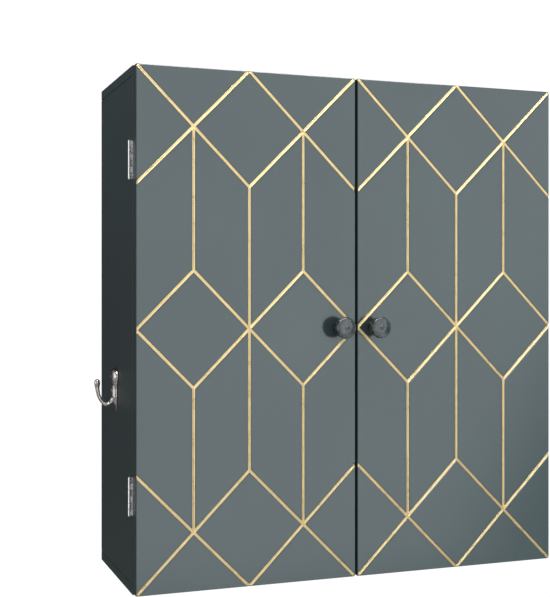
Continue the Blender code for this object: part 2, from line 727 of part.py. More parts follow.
def build_bumpers(side, sign):
    """Rubber dots on the door where it laps the front edges of the top and bottom panels."""
    bumpers = []
    x = sign * (DOOR_EDGE + BUMPER_INSET)
    profile = ((0, 0), (BUMPER_RADIUS, 0), (0.87 * BUMPER_RADIUS, 0.8 * BUMPER_THICKNESS),
               (0, BUMPER_THICKNESS))
    heights = {"top": (INNER_HALF_HEIGHT + DOOR_TOP) / 2, "bottom": (DOOR_BOTTOM - INNER_HALF_HEIGHT) / 2}
    for level, z in heights.items():
        name = side + "_" + level + "_bumper"
        bumpers.append(turned(name, profile, (x, DOOR_FITTING, z), (0, 1, 0), "rubber", count=16))
    return bumpers


def build_door(side, sign, case_panel):
    pivot = bpy.data.objects.new(side + "_door_axis", None)
    pivot.location = (sign * (HALF_WIDTH + HINGE_STAND_OFF), SEAM_Y, 0)
    bpy.context.scene.collection.objects.link(pivot)
    door_panel, inlay = build_door_panel(side, sign)
    pieces = [door_panel, inlay, build_catch(side, sign), build_rack(side, sign)]
    for level, end in LEVELS.items():
        pieces.append(build_hinge(side, sign, level, end, case_panel, door_panel))
    pieces.extend(build_knob(side, sign, door_panel))
    pieces.extend(build_scoreboard(side, sign))
    pieces.extend(build_bumpers(side, sign))
    for piece in pieces:
        hang(piece, pivot)


# ================================================================ side hooks
def hook_body(side, sign, wall, centre_y, low_z):
    """Waisted body with a domed front, thin at its lower tip."""
    verts = []
    loops = []
    for share, width, thickness in HOOK_BODY:
        wide = width * HOOK_WIDTH / 2
        thick = thickness * HOOK_BODY_THICKNESS
        side_spots = [(0.0, wide), (0.40 * thick, wide), (0.78 * thick, 0.80 * wide), (thick, 0.42 * wide)]
        section = [(out, -across) for out, across in side_spots] + side_spots[::-1]
        loops.append(range(len(verts), len(verts) + len(section)))
        for out, across in section:
            verts.append((sign * (wall + out), centre_y + across, low_z + share * HOOK_HEIGHT))
    faces = bridge(loops) + [tuple(loops[0]), tuple(reversed(loops[-1]))]
    return link_mesh(side + "_side_hook", verts, faces, "pewter", smooth=True, sharp_angle=50)


def hook_prong(side, sign, wall, centre_y, low_z):
    count = 10
    points = [Vector((x * HOOK_REACH, z * HOOK_HEIGHT)) for x, z, _ in HOOK_PRONG]
    verts = []
    loops = []
    for index, (_, _, radius) in enumerate(HOOK_PRONG):
        ahead = points[min(index + 1, len(points) - 1)]
        behind = points[max(index - 1, 0)]
        along = (ahead - behind).normalized()
        normal = Vector((-along.y, along.x))
        loops.append(range(len(verts), len(verts) + count))
        for step in range(count):
            turn = 2 * math.pi * (step + 0.5) / count
            spot = points[index] + normal * radius * math.cos(turn)
            verts.append((sign * (wall + spot.x), centre_y + radius * math.sin(turn), low_z + spot.y))
    faces = bridge(loops) + [tuple(loops[0]), tuple(reversed(loops[-1]))]
    return link_mesh("prong_" + side, verts, faces, "pewter", smooth=True, sharp_angle=50)


def build_side_hook(side, sign, side_panel):
    """Cast hook, all one body, held by two screws into the side panel."""
    wall = HALF_WIDTH + FIT_GAP
    centre_y = DOOR_FRONT + HOOK_SETBACK
    low_z = -HOOK_DROP - HOOK_HEIGHT / 2
    hook = hook_body(side, sign, wall, centre_y, low_z)
    cut(hook, hook_prong(side, sign, wall, centre_y, low_z), "UNION")
    hole = HOOK_SCREW_RADIUS + FIT_GAP
    for level, share, thickness in (("top", 0.80, 1.00), ("bottom", 0.48, 0.93)):
        label = side + "_hook_" + level
        seat = thickness * HOOK_BODY_THICKNESS + FIT_GAP
        z = low_z + share * HOOK_HEIGHT
        bore(hook, label, (sign * (wall - FIT_GAP), centre_y, z), (sign, 0, 0), hole,
             HOOK_BODY_THICKNESS + 3 * FIT_GAP, count=14)
        bore(side_panel, label + "_pilot", (sign * (HALF_WIDTH + FIT_GAP), centre_y, z), (-sign, 0, 0),
             hole, HOOK_SCREW_BITE + 3 * FIT_GAP, count=14)
        screw(label + "_screw", (sign * (wall + seat), centre_y, z), (sign, 0, 0),
              (HOOK_SCREW_HEAD_RADIUS, HOOK_SCREW_HEAD_HEIGHT),
              (HOOK_SCREW_RADIUS, HOOK_SCREW_BITE + seat), "pewter")


# ================================================================ dart board
def bracket_section(lift):
    """Middle line of the bracket's hat section, from tab to tab."""
    web = BRACKET_WEB_WIDTH / 2
    tab = BRACKET_WIDTH / 2
    half = [(web, -lift), (tab - BRACKET_TAB_WIDTH, 0), (tab, 0)]
    return [Vector((-x, y)) for x, y in reversed(half)] + [Vector(spot) for spot in half]


def build_bracket(back_panel):
    """Pressed bracket with a slot open at the top, its screws and the board's centre screw."""
    lift = BOARD_STAND_OFF - FIT_GAP - BRACKET_SHEET - BRACKET_CLEARANCE
    middle = bracket_section(lift)
    half = BRACKET_SHEET / 2
    section = beside(middle, half) + beside(middle, -half)[::-1]
    verts = []
    loops = []
    for z in (-BRACKET_HEIGHT / 2, BRACKET_HEIGHT / 2):
        loops.append(range(len(verts), len(verts) + len(section)))
        verts.extend((spot.x, BACK_INSIDE - half + spot.y, z) for spot in section)
    faces = bridge(loops)
    count = len(section)
    for loop in loops:
        for step in range(count // 2 - 1):
            faces.append((loop[step], loop[step + 1], loop[count - 2 - step], loop[count - 1 - step]))
    bracket = link_mesh("board_bracket", verts, faces, "steel")

    web_back = BACK_INSIDE - lift
    neck = CENTRE_SCREW_RADIUS + 2 * FIT_GAP
    cut(bracket, box("bracket_slot", (-neck, web_back + half, -neck),
                     (neck, web_back - 2 * BRACKET_SHEET, BRACKET_HEIGHT)))
    hole = BRACKET_SCREW_RADIUS + FIT_GAP
    pilot = BACK_THICKNESS - BRACKET_SHEET / 2
    for side, sign in SIDES.items():
        x = sign * (BRACKET_WIDTH - BRACKET_TAB_WIDTH) / 2
        bore(bracket, "bracket_" + side, (x, BACK_INSIDE + FIT_GAP, 0), (0, -1, 0), hole,
             BRACKET_SHEET + 2 * FIT_GAP, count=14)
        bore(back_panel, "bracket_pilot_" + side, (x, BACK_INSIDE, 0), (0, 1, 0), hole, pilot, count=14)
        screw("bracket_" + side + "_screw", (x, BACK_INSIDE - BRACKET_SHEET - FIT_GAP, 0), (0, -1, 0),
              (BRACKET_SCREW_HEAD_RADIUS, BRACKET_SCREW_HEAD_HEIGHT),
              (BRACKET_SCREW_RADIUS, pilot + BRACKET_SHEET - FIT_GAP))

    head = web_back + FIT_GAP
    reach = head - BOARD_BACK + CENTRE_SCREW_BITE
    turned("board_centre_screw", (
        (0, -CENTRE_SCREW_HEAD_HEIGHT), (0.8 * CENTRE_SCREW_HEAD_RADIUS, -CENTRE_SCREW_HEAD_HEIGHT),
        (CENTRE_SCREW_HEAD_RADIUS, -CENTRE_SCREW_HEAD_HEIGHT / 3), (CENTRE_SCREW_HEAD_RADIUS, 0),
        (CENTRE_SCREW_RADIUS, 0), (CENTRE_SCREW_RADIUS, reach - CENTRE_SCREW_RADIUS), (0, reach),
    ), (0, head, 0), (0, -1, 0), "steel", count=16)


def build_board():
    """Backing disc, sisal face and rim band, resting on three pads."""
    core = BOARD_RADIUS - BOARD_BAND_THICKNESS - FIT_GAP
    hole = CENTRE_SCREW_RADIUS + FIT_GAP
    blind = CENTRE_SCREW_BITE - BOARD_BACKING_THICKNESS + FIT_GAP
    turned("board_backing_disc", (
        (hole, 0), (core, 0), (core, BOARD_BACKING_THICKNESS), (hole, BOARD_BACKING_THICKNESS),
    ), (0, BOARD_BACK, 0), (0, -1, 0), "chipboard", count=BOARD_FACETS, hollow=True)
    turned("board_sisal_face", (
        (0, blind), (hole, blind), (hole, 0), (core, 0), (core, BOARD_SISAL_THICKNESS),
        (0, BOARD_SISAL_THICKNESS),
    ), (0, SISAL_BACK, 0), (0, -1, 0), "sisal", count=BOARD_FACETS)
    depth = BOARD_BACK - BOARD_FACE
    inner = BOARD_RADIUS - BOARD_BAND_THICKNESS
    turned("board_rim_band", (
        (inner, 0), (BOARD_RADIUS, 0), (BOARD_RADIUS, depth), (inner, depth),
    ), (0, BOARD_BACK, 0), (0, -1, 0), "band_steel", count=BOARD_FACETS, hollow=True)
    for name, degrees in (("top", 90), ("left", 210), ("right", 330)):
        turn = math.radians(degrees)
        arm = BOARD_RADIUS - PAD_INSET
        spot = (arm * math.cos(turn), BACK_INSIDE, arm * math.sin(turn))
        thick = BOARD_STAND_OFF - 2 * FIT_GAP
        turned("board_" + name + "_pad", (
            (0, 0), (PAD_RADIUS, 0), (0.85 * PAD_RADIUS, thick), (0, thick),
        ), spot, (0, -1, 0), "rubber", count=20)


def build_number_ring():
    radius = BOARD_RADIUS - NUMBER_RING_INSET
    wire = NUMBER_RING_WIRE / 2
    section = []
    for step in range(6):
        turn = 2 * math.pi * step / 6
        section.append((radius + wire * math.cos(turn), FIT_GAP + wire + wire * math.sin(turn)))
    turned("board_number_ring", section, (0, BOARD_FACE, 0), (0, -1, 0), "wire_steel", count=60, hollow=True)


def build_wire_spider():
    """Five rings joined by a spoke on each side of every sector, all one flat web."""
    half = WIRE_WIDTH / 2
    radii = []
    for radius in BOARD_RINGS:
        radii.extend((radius - half, radius + half))
    columns = []
    for sector in range(BOARD_SECTORS):
        spoke = 2 * math.pi * (sector + 0.5) / BOARD_SECTORS
        columns.extend(((spoke, -half), (spoke, half), (spoke + math.pi / BOARD_SECTORS, 0)))
    count = len(columns)
    rows = len(radii)
    verts = []
    for depth in (0, WIRE_DEPTH):
        for radius in radii:
            for turn, shift in columns:
                swing = turn + shift / radius
                spot = (radius * math.sin(swing), BOARD_FACE - FIT_GAP - depth, radius * math.cos(swing))
                verts.append(spot)

    def vertex(front, row, column):
        return (front * rows + row) * count + column % count

    def solid(row, column):
        if not 0 <= row < rows - 1:
            return False
        return row % 2 == 0 or column % 3 == 0

    faces = []
    for row in range(rows - 1):
        for column in range(count):
            if not solid(row, column):
                continue
            for front in (0, 1):
                faces.append((vertex(front, row, column), vertex(front, row, column + 1),
                              vertex(front, row + 1, column + 1), vertex(front, row + 1, column)))
            for edge, beyond in ((row, row - 1), (row + 1, row + 1)):
                if not solid(beyond, column):
                    faces.append((vertex(0, edge, column), vertex(0, edge, column + 1),
                                  vertex(1, edge, column + 1), vertex(1, edge, column)))
            for edge, beyond in ((column, column - 1), (column + 1, column + 1)):
                if not solid(row, beyond):
                    faces.append((vertex(0, row, edge), vertex(0, row + 1, edge),
                                  vertex(1, row + 1, edge), vertex(1, row, edge)))
    link_mesh("board_wire_spider", verts, faces, "wire_steel")


# ================================================================ assembly
for old in list(bpy.data.objects):
    bpy.data.objects.remove(old, do_unlink=True)
make_finishes()
case_panels = build_case()
for side_name, side_sign in SIDES.items():
    build_door(side_name, side_sign, case_panels[side_name])
    build_side_hook(side_name, side_sign, case_panels[side_name])
build_bracket(case_panels["back"])
build_board()
build_number_ring()
build_wire_spider()
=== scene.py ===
import json
import math

import bmesh
import bpy
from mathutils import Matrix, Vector

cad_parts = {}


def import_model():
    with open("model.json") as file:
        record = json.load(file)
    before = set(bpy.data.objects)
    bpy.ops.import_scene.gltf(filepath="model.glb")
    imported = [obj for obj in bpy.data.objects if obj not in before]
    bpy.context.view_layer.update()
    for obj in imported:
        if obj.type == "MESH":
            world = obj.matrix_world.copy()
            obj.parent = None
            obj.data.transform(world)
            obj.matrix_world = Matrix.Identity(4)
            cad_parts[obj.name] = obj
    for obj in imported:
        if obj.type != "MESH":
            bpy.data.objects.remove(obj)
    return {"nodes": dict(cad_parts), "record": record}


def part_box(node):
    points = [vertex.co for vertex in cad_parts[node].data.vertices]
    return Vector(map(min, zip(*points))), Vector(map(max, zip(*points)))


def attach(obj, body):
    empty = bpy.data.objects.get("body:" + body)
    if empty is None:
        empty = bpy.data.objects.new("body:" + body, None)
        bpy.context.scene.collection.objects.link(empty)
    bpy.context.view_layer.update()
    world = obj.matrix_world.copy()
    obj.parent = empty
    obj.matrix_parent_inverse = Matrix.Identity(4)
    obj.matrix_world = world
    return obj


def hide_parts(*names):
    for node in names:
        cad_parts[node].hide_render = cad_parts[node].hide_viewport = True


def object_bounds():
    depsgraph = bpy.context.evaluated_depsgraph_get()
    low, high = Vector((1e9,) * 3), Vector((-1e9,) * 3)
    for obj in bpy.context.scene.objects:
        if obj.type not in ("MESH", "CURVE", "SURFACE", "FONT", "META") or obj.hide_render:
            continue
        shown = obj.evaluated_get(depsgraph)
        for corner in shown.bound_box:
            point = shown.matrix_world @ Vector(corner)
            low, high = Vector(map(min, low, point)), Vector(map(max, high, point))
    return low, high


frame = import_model()
CAD_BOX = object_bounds()
NODES = frame["nodes"]
SIDES = {"left": -1, "right": 1}
LEVELS = ("upper", "lower")


# ================================================================ material helpers
class Nodes:
    """Short calls for the nodes that the finishes and the world share."""

    def __init__(self, tree):
        self.tree = tree

    def set(self, node, socket, value):
        if isinstance(value, bpy.types.NodeSocket):
            self.tree.links.new(value, node.inputs[socket])
        else:
            node.inputs[socket].default_value = value

    def node(self, kind, sockets=(), **properties):
        """A new node, with its properties set and its sockets filled or linked."""
        made = self.tree.nodes.new(kind)
        for key, value in properties.items():
            setattr(made, key, value)
        for socket, value in dict(sockets).items():
            self.set(made, socket, value)
        return made

    def math(self, operation, *values):
        return self.node("ShaderNodeMath", enumerate(values), operation=operation).outputs[0]

    def dot(self, first, second):
        made = self.node("ShaderNodeVectorMath", {0: first, 1: second}, operation="DOT_PRODUCT")
        return made.outputs["Value"]

    def range(self, value, low, high, start=0.0, end=1.0, **properties):
        """A value's stretch from start to end, carried over to low..high."""
        sockets = {"Value": value, "From Min": start, "From Max": end,
                   "To Min": low, "To Max": high}
        return self.node("ShaderNodeMapRange", sockets, **properties).outputs["Result"]


class Surface(Nodes):
    """A node material. Lengths are in metres, and a texture's scale is so many per metre."""

    def __init__(self, name, colour, roughness=0.5, metallic=0.0, **sockets):
        self.material = bpy.data.materials.new(name)
        self.material.use_nodes = True
        super().__init__(self.material.node_tree)
        self.shader = self.tree.nodes["Principled BSDF"]
        self.use(Base_Color=(*colour, 1.0), Roughness=roughness, Metallic=metallic, **sockets)
        coordinates = self.node("ShaderNodeTexCoord")
        self.place = coordinates.outputs["Object"]
        self.facing = coordinates.outputs["Normal"]
        self.material.diffuse_color = (*colour, 1.0)

    def use(self, **sockets):
        """Fills or links the shader's sockets, named with _ for a space."""
        for socket, value in sockets.items():
            self.set(self.shader, socket.replace("_", " "), value)
        return self.material

    def stretched(self, scale, rotation=(0, 0, 0)):
        """Object coordinates scaled along each axis, and turned."""
        sockets = {"Vector": self.place, "Scale": scale, "Rotation": rotation}
        return self.node("ShaderNodeMapping", sockets).outputs["Vector"]

    def split(self, vector):
        """The outputs X, Y and Z of a vector."""
        return self.node("ShaderNodeSeparateXYZ", {"Vector": vector}).outputs

    def noise(self, scale, detail=3.0, rough=0.5, distortion=0.0, where=None):
        sockets = {"Vector": where or self.place, "Scale": scale, "Detail": detail,
                   "Roughness": rough, "Distortion": distortion}
        return self.node("ShaderNodeTexNoise", sockets).outputs["Fac"]

    def cells(self, scale, output="Distance", where=None):
        sockets = {"Vector": where or self.place, "Scale": scale, "Randomness": 1.0}
        return self.node("ShaderNodeTexVoronoi", sockets, feature="F1").outputs[output]

    def ramp(self, value, *stops):
        """Colour ramp; each stop is (position, colour)."""
        made = self.node("ShaderNodeValToRGB", {"Fac": value})
        elements = made.color_ramp.elements
        while len(elements) < len(stops):
            elements.new(0.5)
        for element, (position, colour) in zip(elements, stops):
            element.position = position
            element.color = (*colour, 1)
        return made.outputs["Color"]

    def mix(self, share, first, second):
        """Two colours mixed, with that share of the second."""
        made = self.node("ShaderNodeMix", data_type="RGBA", blend_type="MIX")
        for index, value in ((0, share), (6, first), (7, second)):
            if isinstance(value, tuple) and len(value) == 3:
                value = (*value, 1.0)
            self.set(made, index, value)
        return made.outputs[2]

    def share(self, value, start, end, most=1.0):
        """0 up to the most, as a value goes from start to end."""
        return self.range(value, 0.0, most, start, end)

    def blend(self, first, part, second):
        """Two noises added: that part of the first, and the rest from the second."""
        return self.math("MULTIPLY_ADD", first, part, self.math("MULTIPLY", second, 1.0 - part))

    def bump(self, height, distance, strength, over=None):
        """The normal of the ground, or of another normal, with a height laid over it."""
        sockets = {"Height": height, "Distance": distance, "Strength": strength}
        if over is not None:
            sockets["Normal"] = over
        return self.node("ShaderNodeBump", sockets).outputs["Normal"]

    def bevelled(self, radius, samples):
        """The normal, rounded off over a radius at each edge."""
        return self.node("ShaderNodeBevel", {"Radius": radius}, samples=samples).outputs["Normal"]

    def edges(self, radius):
        """1 on sharp edges, down to 0 where the ground is flat over the radius."""
        flat = self.node("ShaderNodeNewGeometry").outputs["Normal"]
        return self.range(self.dot(self.bevelled(radius, 4), flat), 1.0, 0.0, 0.75, 0.995)


def shade(colour, factor):
    """A darker or lighter colour, at most white."""
    return tuple(min(1.0, channel * factor) for channel in colour)


# ================================================================ finishes
MIDDLE = (0.3, 0.7)  # start and end of the stretch where most of a noise lies
GOLD_DISH = 0.0018  # how far the pressed strip's rounding reaches from its edges
SANDED_ROUGHNESS = 0.50  # of the side-facing panels, rubbed flatter than the front
SIDE_FACING = (0.8, 0.95)  # share of the normal along X where that rubbing starts and is full
BACK_PAINT_EDGE = -0.0004  # Y in the back panel, behind which the board is bare

# Dyes of the bristle board, and the near-black painted shade of its dart holes
BLACK_SISAL, PALE_SISAL = (0.030, 0.027, 0.024), (0.600, 0.490, 0.300)
RED_SISAL, GREEN_SISAL = (0.330, 0.026, 0.020), (0.020, 0.130, 0.048)
# The hole colour is painted shade, near-black and darker than any dye
RIM_SISAL, HOLE_SHADE_SISAL = (0.026, 0.024, 0.022), (0.010, 0.009, 0.008)

# Radii of the board's rings, as on a standard board, and of the inner bull as a share of the outer
BOARD_RINGS = (0.0159, 0.0990, 0.1070, 0.1620, 0.1700)
INNER_BULL = 0.40
SECTORS = 20


def lacquer(name, colour, roughness):
    """Sprayed satin lacquer on fibreboard: orange peel, faint clouding, dust nibs, duller sides."""
    surface = Surface(name, colour, roughness, Specular_IOR_Level=0.5)
    cloud = surface.noise(5.5, detail=4.0, rough=0.55)
    drift = surface.noise(46.0, rough=0.6)
    fine = surface.noise(900.0, detail=2.0)
    tone = surface.mix(surface.share(cloud, *MIDDLE), shade(colour, 0.94), shade(colour, 1.055))
    tone = surface.mix(surface.share(fine, 0.35, 0.75, most=0.12), tone, shade(colour, 1.35))
    smear = surface.range(surface.blend(drift, 0.5, cloud),
                          roughness - 0.02, roughness + 0.04, *MIDDLE)
    sideways = surface.math("ABSOLUTE", surface.split(surface.facing)["X"])
    smear = surface.mix(surface.share(sideways, *SIDE_FACING), smear, (SANDED_ROUGHNESS,) * 3)
    ripple = surface.noise(420.0, detail=1.5, rough=0.45)
    nibs = surface.range(surface.cells(150.0), 1.0, 0.0, end=0.035)
    height = surface.math("MULTIPLY_ADD", nibs, 0.5, ripple)
    return surface.use(Base_Color=tone, Roughness=smear, Normal=surface.bump(height, 0.00002, 0.8))


def brushed_gold(name):
    """Gold-coloured pressed strip: rounded edges, fine draw lines, slightly uneven polish."""
    surface = Surface(name, (0.850, 0.670, 0.360), 0.30, metallic=1.0)
    haze = surface.noise(60.0, rough=0.6)
    lines = surface.noise(2600.0, detail=2.0)
    deep, bright = (0.800, 0.630, 0.335), (0.900, 0.720, 0.395)
    tone = surface.mix(surface.share(haze, *MIDDLE), deep, bright)
    rough = surface.range(surface.blend(lines, 0.5, haze), 0.24, 0.36, *MIDDLE)
    normal = surface.bump(lines, 0.00001, 0.4, over=surface.bevelled(GOLD_DISH, 16))
    return surface.use(Base_Color=tone, Roughness=rough, Normal=normal)


def plated(name, colour, smooth, dull, scratch=0.00001, tarnish=None):
    """Metal with polish that runs from smooth to dull, fine scratches and tarnished patches."""
    surface = Surface(name, colour, (smooth + dull) / 2, metallic=1.0)
    patches = surface.noise(140.0, detail=4.0, rough=0.6)
    specks = surface.noise(900.0, rough=0.55)
    scratches = surface.noise(700.0, detail=2.0, where=surface.stretched((1.0, 1.0, 0.12)))
    tone = surface.mix(surface.share(patches, 0.42, 0.72), colour, tarnish or shade(colour, 0.72))
    rough = surface.range(surface.blend(specks, 0.4, patches), smooth, dull, *MIDDLE)
    height = surface.math("MULTIPLY_ADD", scratches, 0.6, specks)
    return surface.use(Base_Color=tone, Roughness=rough, Normal=surface.bump(height, scratch, 0.7))


def cast_pewter(name):
    """Antiqued casting: bright rubbed edges over a darker, slightly pitted skin."""
    surface = Surface(name, (0.320, 0.310, 0.290), 0.30, metallic=1.0)
    pits = surface.noise(650.0, detail=4.0, rough=0.6)
    patches = surface.noise(120.0)
    skin_dark, skin_light = (0.330, 0.315, 0.298), (0.560, 0.535, 0.505)
    tone = surface.mix(surface.share(patches, 0.35, 0.7), skin_dark, skin_light)
    tone = surface.mix(surface.edges(0.0012), tone, (0.760, 0.735, 0.700))
    rough = surface.range(pits, 0.14, 0.32, *MIDDLE)
    return surface.use(Base_Color=tone, Roughness=rough, Normal=surface.bump(pits, 0.00006, 0.6))


def gloss_knob(name):
    """Dark lacquer on turned wood, mottled and uneven under a clear gloss coat."""
    surface = Surface(name, (0.080, 0.100, 0.106), 0.24, Specular_IOR_Level=0.32,
                      Coat_Weight=0.75, Coat_Roughness=0.05)
    cloud = surface.noise(180.0, detail=4.0, rough=0.6)
    specks = surface.noise(1400.0, detail=2.0)
    deep, clouded, speckled = (0.012, 0.019, 0.021), (0.045, 0.062, 0.067), (0.200, 0.225, 0.230)
    tone = surface.mix(surface.share(cloud, 0.35, 0.68), deep, clouded)
    tone = surface.mix(surface.share(specks, 0.5, 0.8, most=0.20), tone, speckled)
    rough = surface.range(cloud, 0.16, 0.34, *MIDDLE)
    return surface.use(Base_Color=tone, Roughness=rough, Normal=surface.bump(cloud, 0.00025, 0.6))


def softwood(name):
    """Planed pine with long grain along X."""
    surface = Surface(name, (0.420, 0.270, 0.140), 0.62)
    grain = surface.noise(2.2, detail=5.0, rough=0.6, distortion=1.4,
                          where=surface.stretched((3.0, 60.0, 60.0)))
    pores = surface.noise(40.0, rough=0.6, where=surface.stretched((1.5, 40.0, 40.0)))
    tone = surface.ramp(grain, (0.30, (0.300, 0.170, 0.075)), (0.48, (0.470, 0.300, 0.155)),
                        (0.70, (0.560, 0.390, 0.215)))
    tone = surface.mix(surface.share(pores, 0.5, 0.75, most=0.45), tone, (0.200, 0.110, 0.050))
    return surface.use(Base_Color=tone, Roughness=surface.range(pores, 0.5, 0.8),
                       Normal=surface.bump(grain, 0.0002, 0.5))


def chalk_board(name):
    """Chalkboard paint with the haze of rubbed-out chalk."""
    surface = Surface(name, (0.022, 0.026, 0.025), 0.85, Specular_IOR_Level=0.25)
    haze = surface.noise(9.0, detail=4.0, rough=0.6, distortion=0.6)
    swipes = surface.noise(26.0, detail=5.0, rough=0.65, distortion=1.2,
                           where=surface.stretched((1.0, 1.0, 0.22), rotation=(0, 0.5, 0)))
    tooth = surface.noise(1100.0, detail=2.0)
    dust = surface.math("MULTIPLY", surface.share(haze, 0.38, 0.72),
                        surface.range(swipes, 0.1, 0.85, 0.35, 0.7))
    dust = surface.math("MULTIPLY", dust, surface.range(tooth, 0.3, 1.0, 0.35, 0.65))
    tone = surface.mix(dust, (0.019, 0.023, 0.022), (0.150, 0.155, 0.150))
    return surface.use(Base_Color=tone, Normal=surface.bump(tooth, 0.00008, 0.5))


def chalk(name):
    """Broken chalk or paint strokes: pale grit that lets some of the ground through."""
    surface = Surface(name, (0.780, 0.770, 0.740), 0.95, Specular_IOR_Level=0.1)
    grit = surface.noise(1300.0, rough=0.6)
    ground, pale = (0.250, 0.250, 0.245), (0.830, 0.820, 0.790)
    tone = surface.mix(surface.share(grit, 0.4, 0.6), ground, pale)
    return surface.use(Base_Color=tone, Normal=surface.bump(grit, 0.0001, 0.6))


def moulded(name, colour, roughness, grain=1200.0, depth=0.00003):
    """Moulded plastic or rubber with a fine tool texture and faint flow marks."""
    surface = Surface(name, colour, roughness, Specular_IOR_Level=0.45)
    texture = surface.noise(grain, detail=2.0)
    flow = surface.noise(60.0, distortion=1.0)
    tone = surface.mix(surface.share(flow, 0.35, 0.65), shade(colour, 0.82), shade(colour, 1.12))
    rough = surface.range(texture, roughness - 0.08, roughness + 0.1, *MIDDLE)
    return surface.use(Base_Color=tone, Roughness=rough, Normal=surface.bump(texture, depth, 0.6))


def flakeboard(name):
    """Raw chipboard: flat flakes of several browns."""
    surface = Surface(name, (0.360, 0.250, 0.150), 0.88)
    flakes = surface.cells(260.0, output="Color", where=surface.stretched((1.0, 2.6, 0.8)))
    level = surface.node("ShaderNodeSeparateColor", {"Color": flakes}).outputs
    tone = surface.ramp(level[0], (0.0, (0.210, 0.130, 0.070)), (0.5, (0.400, 0.280, 0.165)),
                        (1.0, (0.560, 0.430, 0.280)))
    dust = surface.noise(900.0, rough=0.6)
    tone = surface.mix(surface.share(dust, 0.45, 0.7, most=0.35), tone, (0.150, 0.095, 0.050))
    return surface.use(Base_Color=tone, Normal=surface.bump(level[1], 0.0003, 0.6))


def sisal_face(name):
    """Bristle board: twenty dyed wedges of fibre ends, with the rings in red and green."""
    surface = Surface(name, (0.050, 0.045, 0.038), 0.94, Specular_IOR_Level=0.2, Sheen_Weight=0.15)
    calc = surface.math
    place = surface.split(surface.place)
    x, z = place["X"], place["Z"]

    # Radius and wedge of a point, with the border between two dyes frayed by half a millimetre
    fray = calc("MULTIPLY_ADD", surface.noise(1500.0, detail=2.0, rough=0.6), 0.0012, -0.0006)
    squares = calc("ADD", calc("MULTIPLY", x, x), calc("MULTIPLY", z, z))
    radius = calc("ADD", calc("SQRT", squares), fray)
    turn = calc("ARCTAN2", x, z)
    turn = calc("ADD", turn, calc("DIVIDE", fray, calc("MAXIMUM", radius, 0.004)))
    per_radian = SECTORS / (2 * math.pi)
    wedge = calc("FLOOR", calc("MULTIPLY_ADD", turn, per_radian, (SECTORS + 1) / 2))
    odd = calc("MODULO", wedge, 2.0)

    light = surface.mix(odd, BLACK_SISAL, PALE_SISAL)
    coloured = surface.mix(odd, RED_SISAL, GREEN_SISAL)
    bull, treble_in, treble_out, double_in, double_out = BOARD_RINGS
    tone = RIM_SISAL
    for limit, dye in ((double_out, coloured), (double_in, light), (treble_out, coloured),
                       (treble_in, light), (bull, GREEN_SISAL), (INNER_BULL * bull, RED_SISAL)):
        tone = surface.mix(calc("LESS_THAN", radius, limit), tone, dye)

    # Fibre ends lighter and darker, wear in patches, and dart holes where it is worn: pressed in,
    # with painted shade darkening them nearly to black
    fibre = surface.noise(1900.0, rough=0.65)
    stain = surface.noise(24.0, detail=4.0, rough=0.6)
    grain = calc("MULTIPLY", surface.range(fibre, 0.62, 1.25, *MIDDLE),
                 surface.range(stain, 0.86, 1.08, *MIDDLE))
    shaded = surface.node("ShaderNodeVectorMath", {0: tone, "Scale": grain}, operation="SCALE")
    holes = surface.range(surface.cells(210.0), 1.0, 0.0, 0.02, 0.09)
    worn = surface.share(surface.noise(14.0, rough=0.6), 0.50, 0.62)
    pits = calc("MULTIPLY", holes, worn)
    # Painted shade: the dart holes darkened towards near-black
    tone = surface.mix(calc("MULTIPLY", pits, 0.7), shaded.outputs[0], HOLE_SHADE_SISAL)
    tufts = calc("MULTIPLY_ADD", surface.cells(900.0), 0.4, fibre)
    height = calc("SUBTRACT", tufts, pits)
    return surface.use(Base_Color=tone, Normal=surface.bump(height, 0.0003, 0.8))


def two_faced_back(name):
    """Hardboard: black paint inside, bare brown board on the face towards the wall."""
    surface = Surface(name, (0.020, 0.021, 0.022), 0.75, Specular_IOR_Level=0.3)
    bare = surface.math("GREATER_THAN", surface.split(surface.place)["Y"], BACK_PAINT_EDGE)
    fibre = surface.noise(500.0, detail=5.0, rough=0.7, where=surface.stretched((1.0, 1.0, 0.45)))
    blotch = surface.noise(16.0, detail=4.0, rough=0.6)
    brown = surface.ramp(fibre, (0.30, (0.150, 0.088, 0.046)), (0.52, (0.235, 0.150, 0.085)),
                         (0.72, (0.320, 0.220, 0.135)))
    brown = surface.mix(surface.share(blotch, 0.4, 0.65, most=0.35), brown, (0.160, 0.100, 0.056))
    worn = surface.noise(7.0, detail=5.0, rough=0.65)
    fresh, rubbed = (0.016, 0.017, 0.018), (0.036, 0.037, 0.038)
    paint = surface.mix(surface.share(worn, 0.52, 0.75, most=0.7), fresh, rubbed)
    return surface.use(Base_Color=surface.mix(bare, paint, brown),
                       Normal=surface.bump(fibre, 0.0002, 0.6))


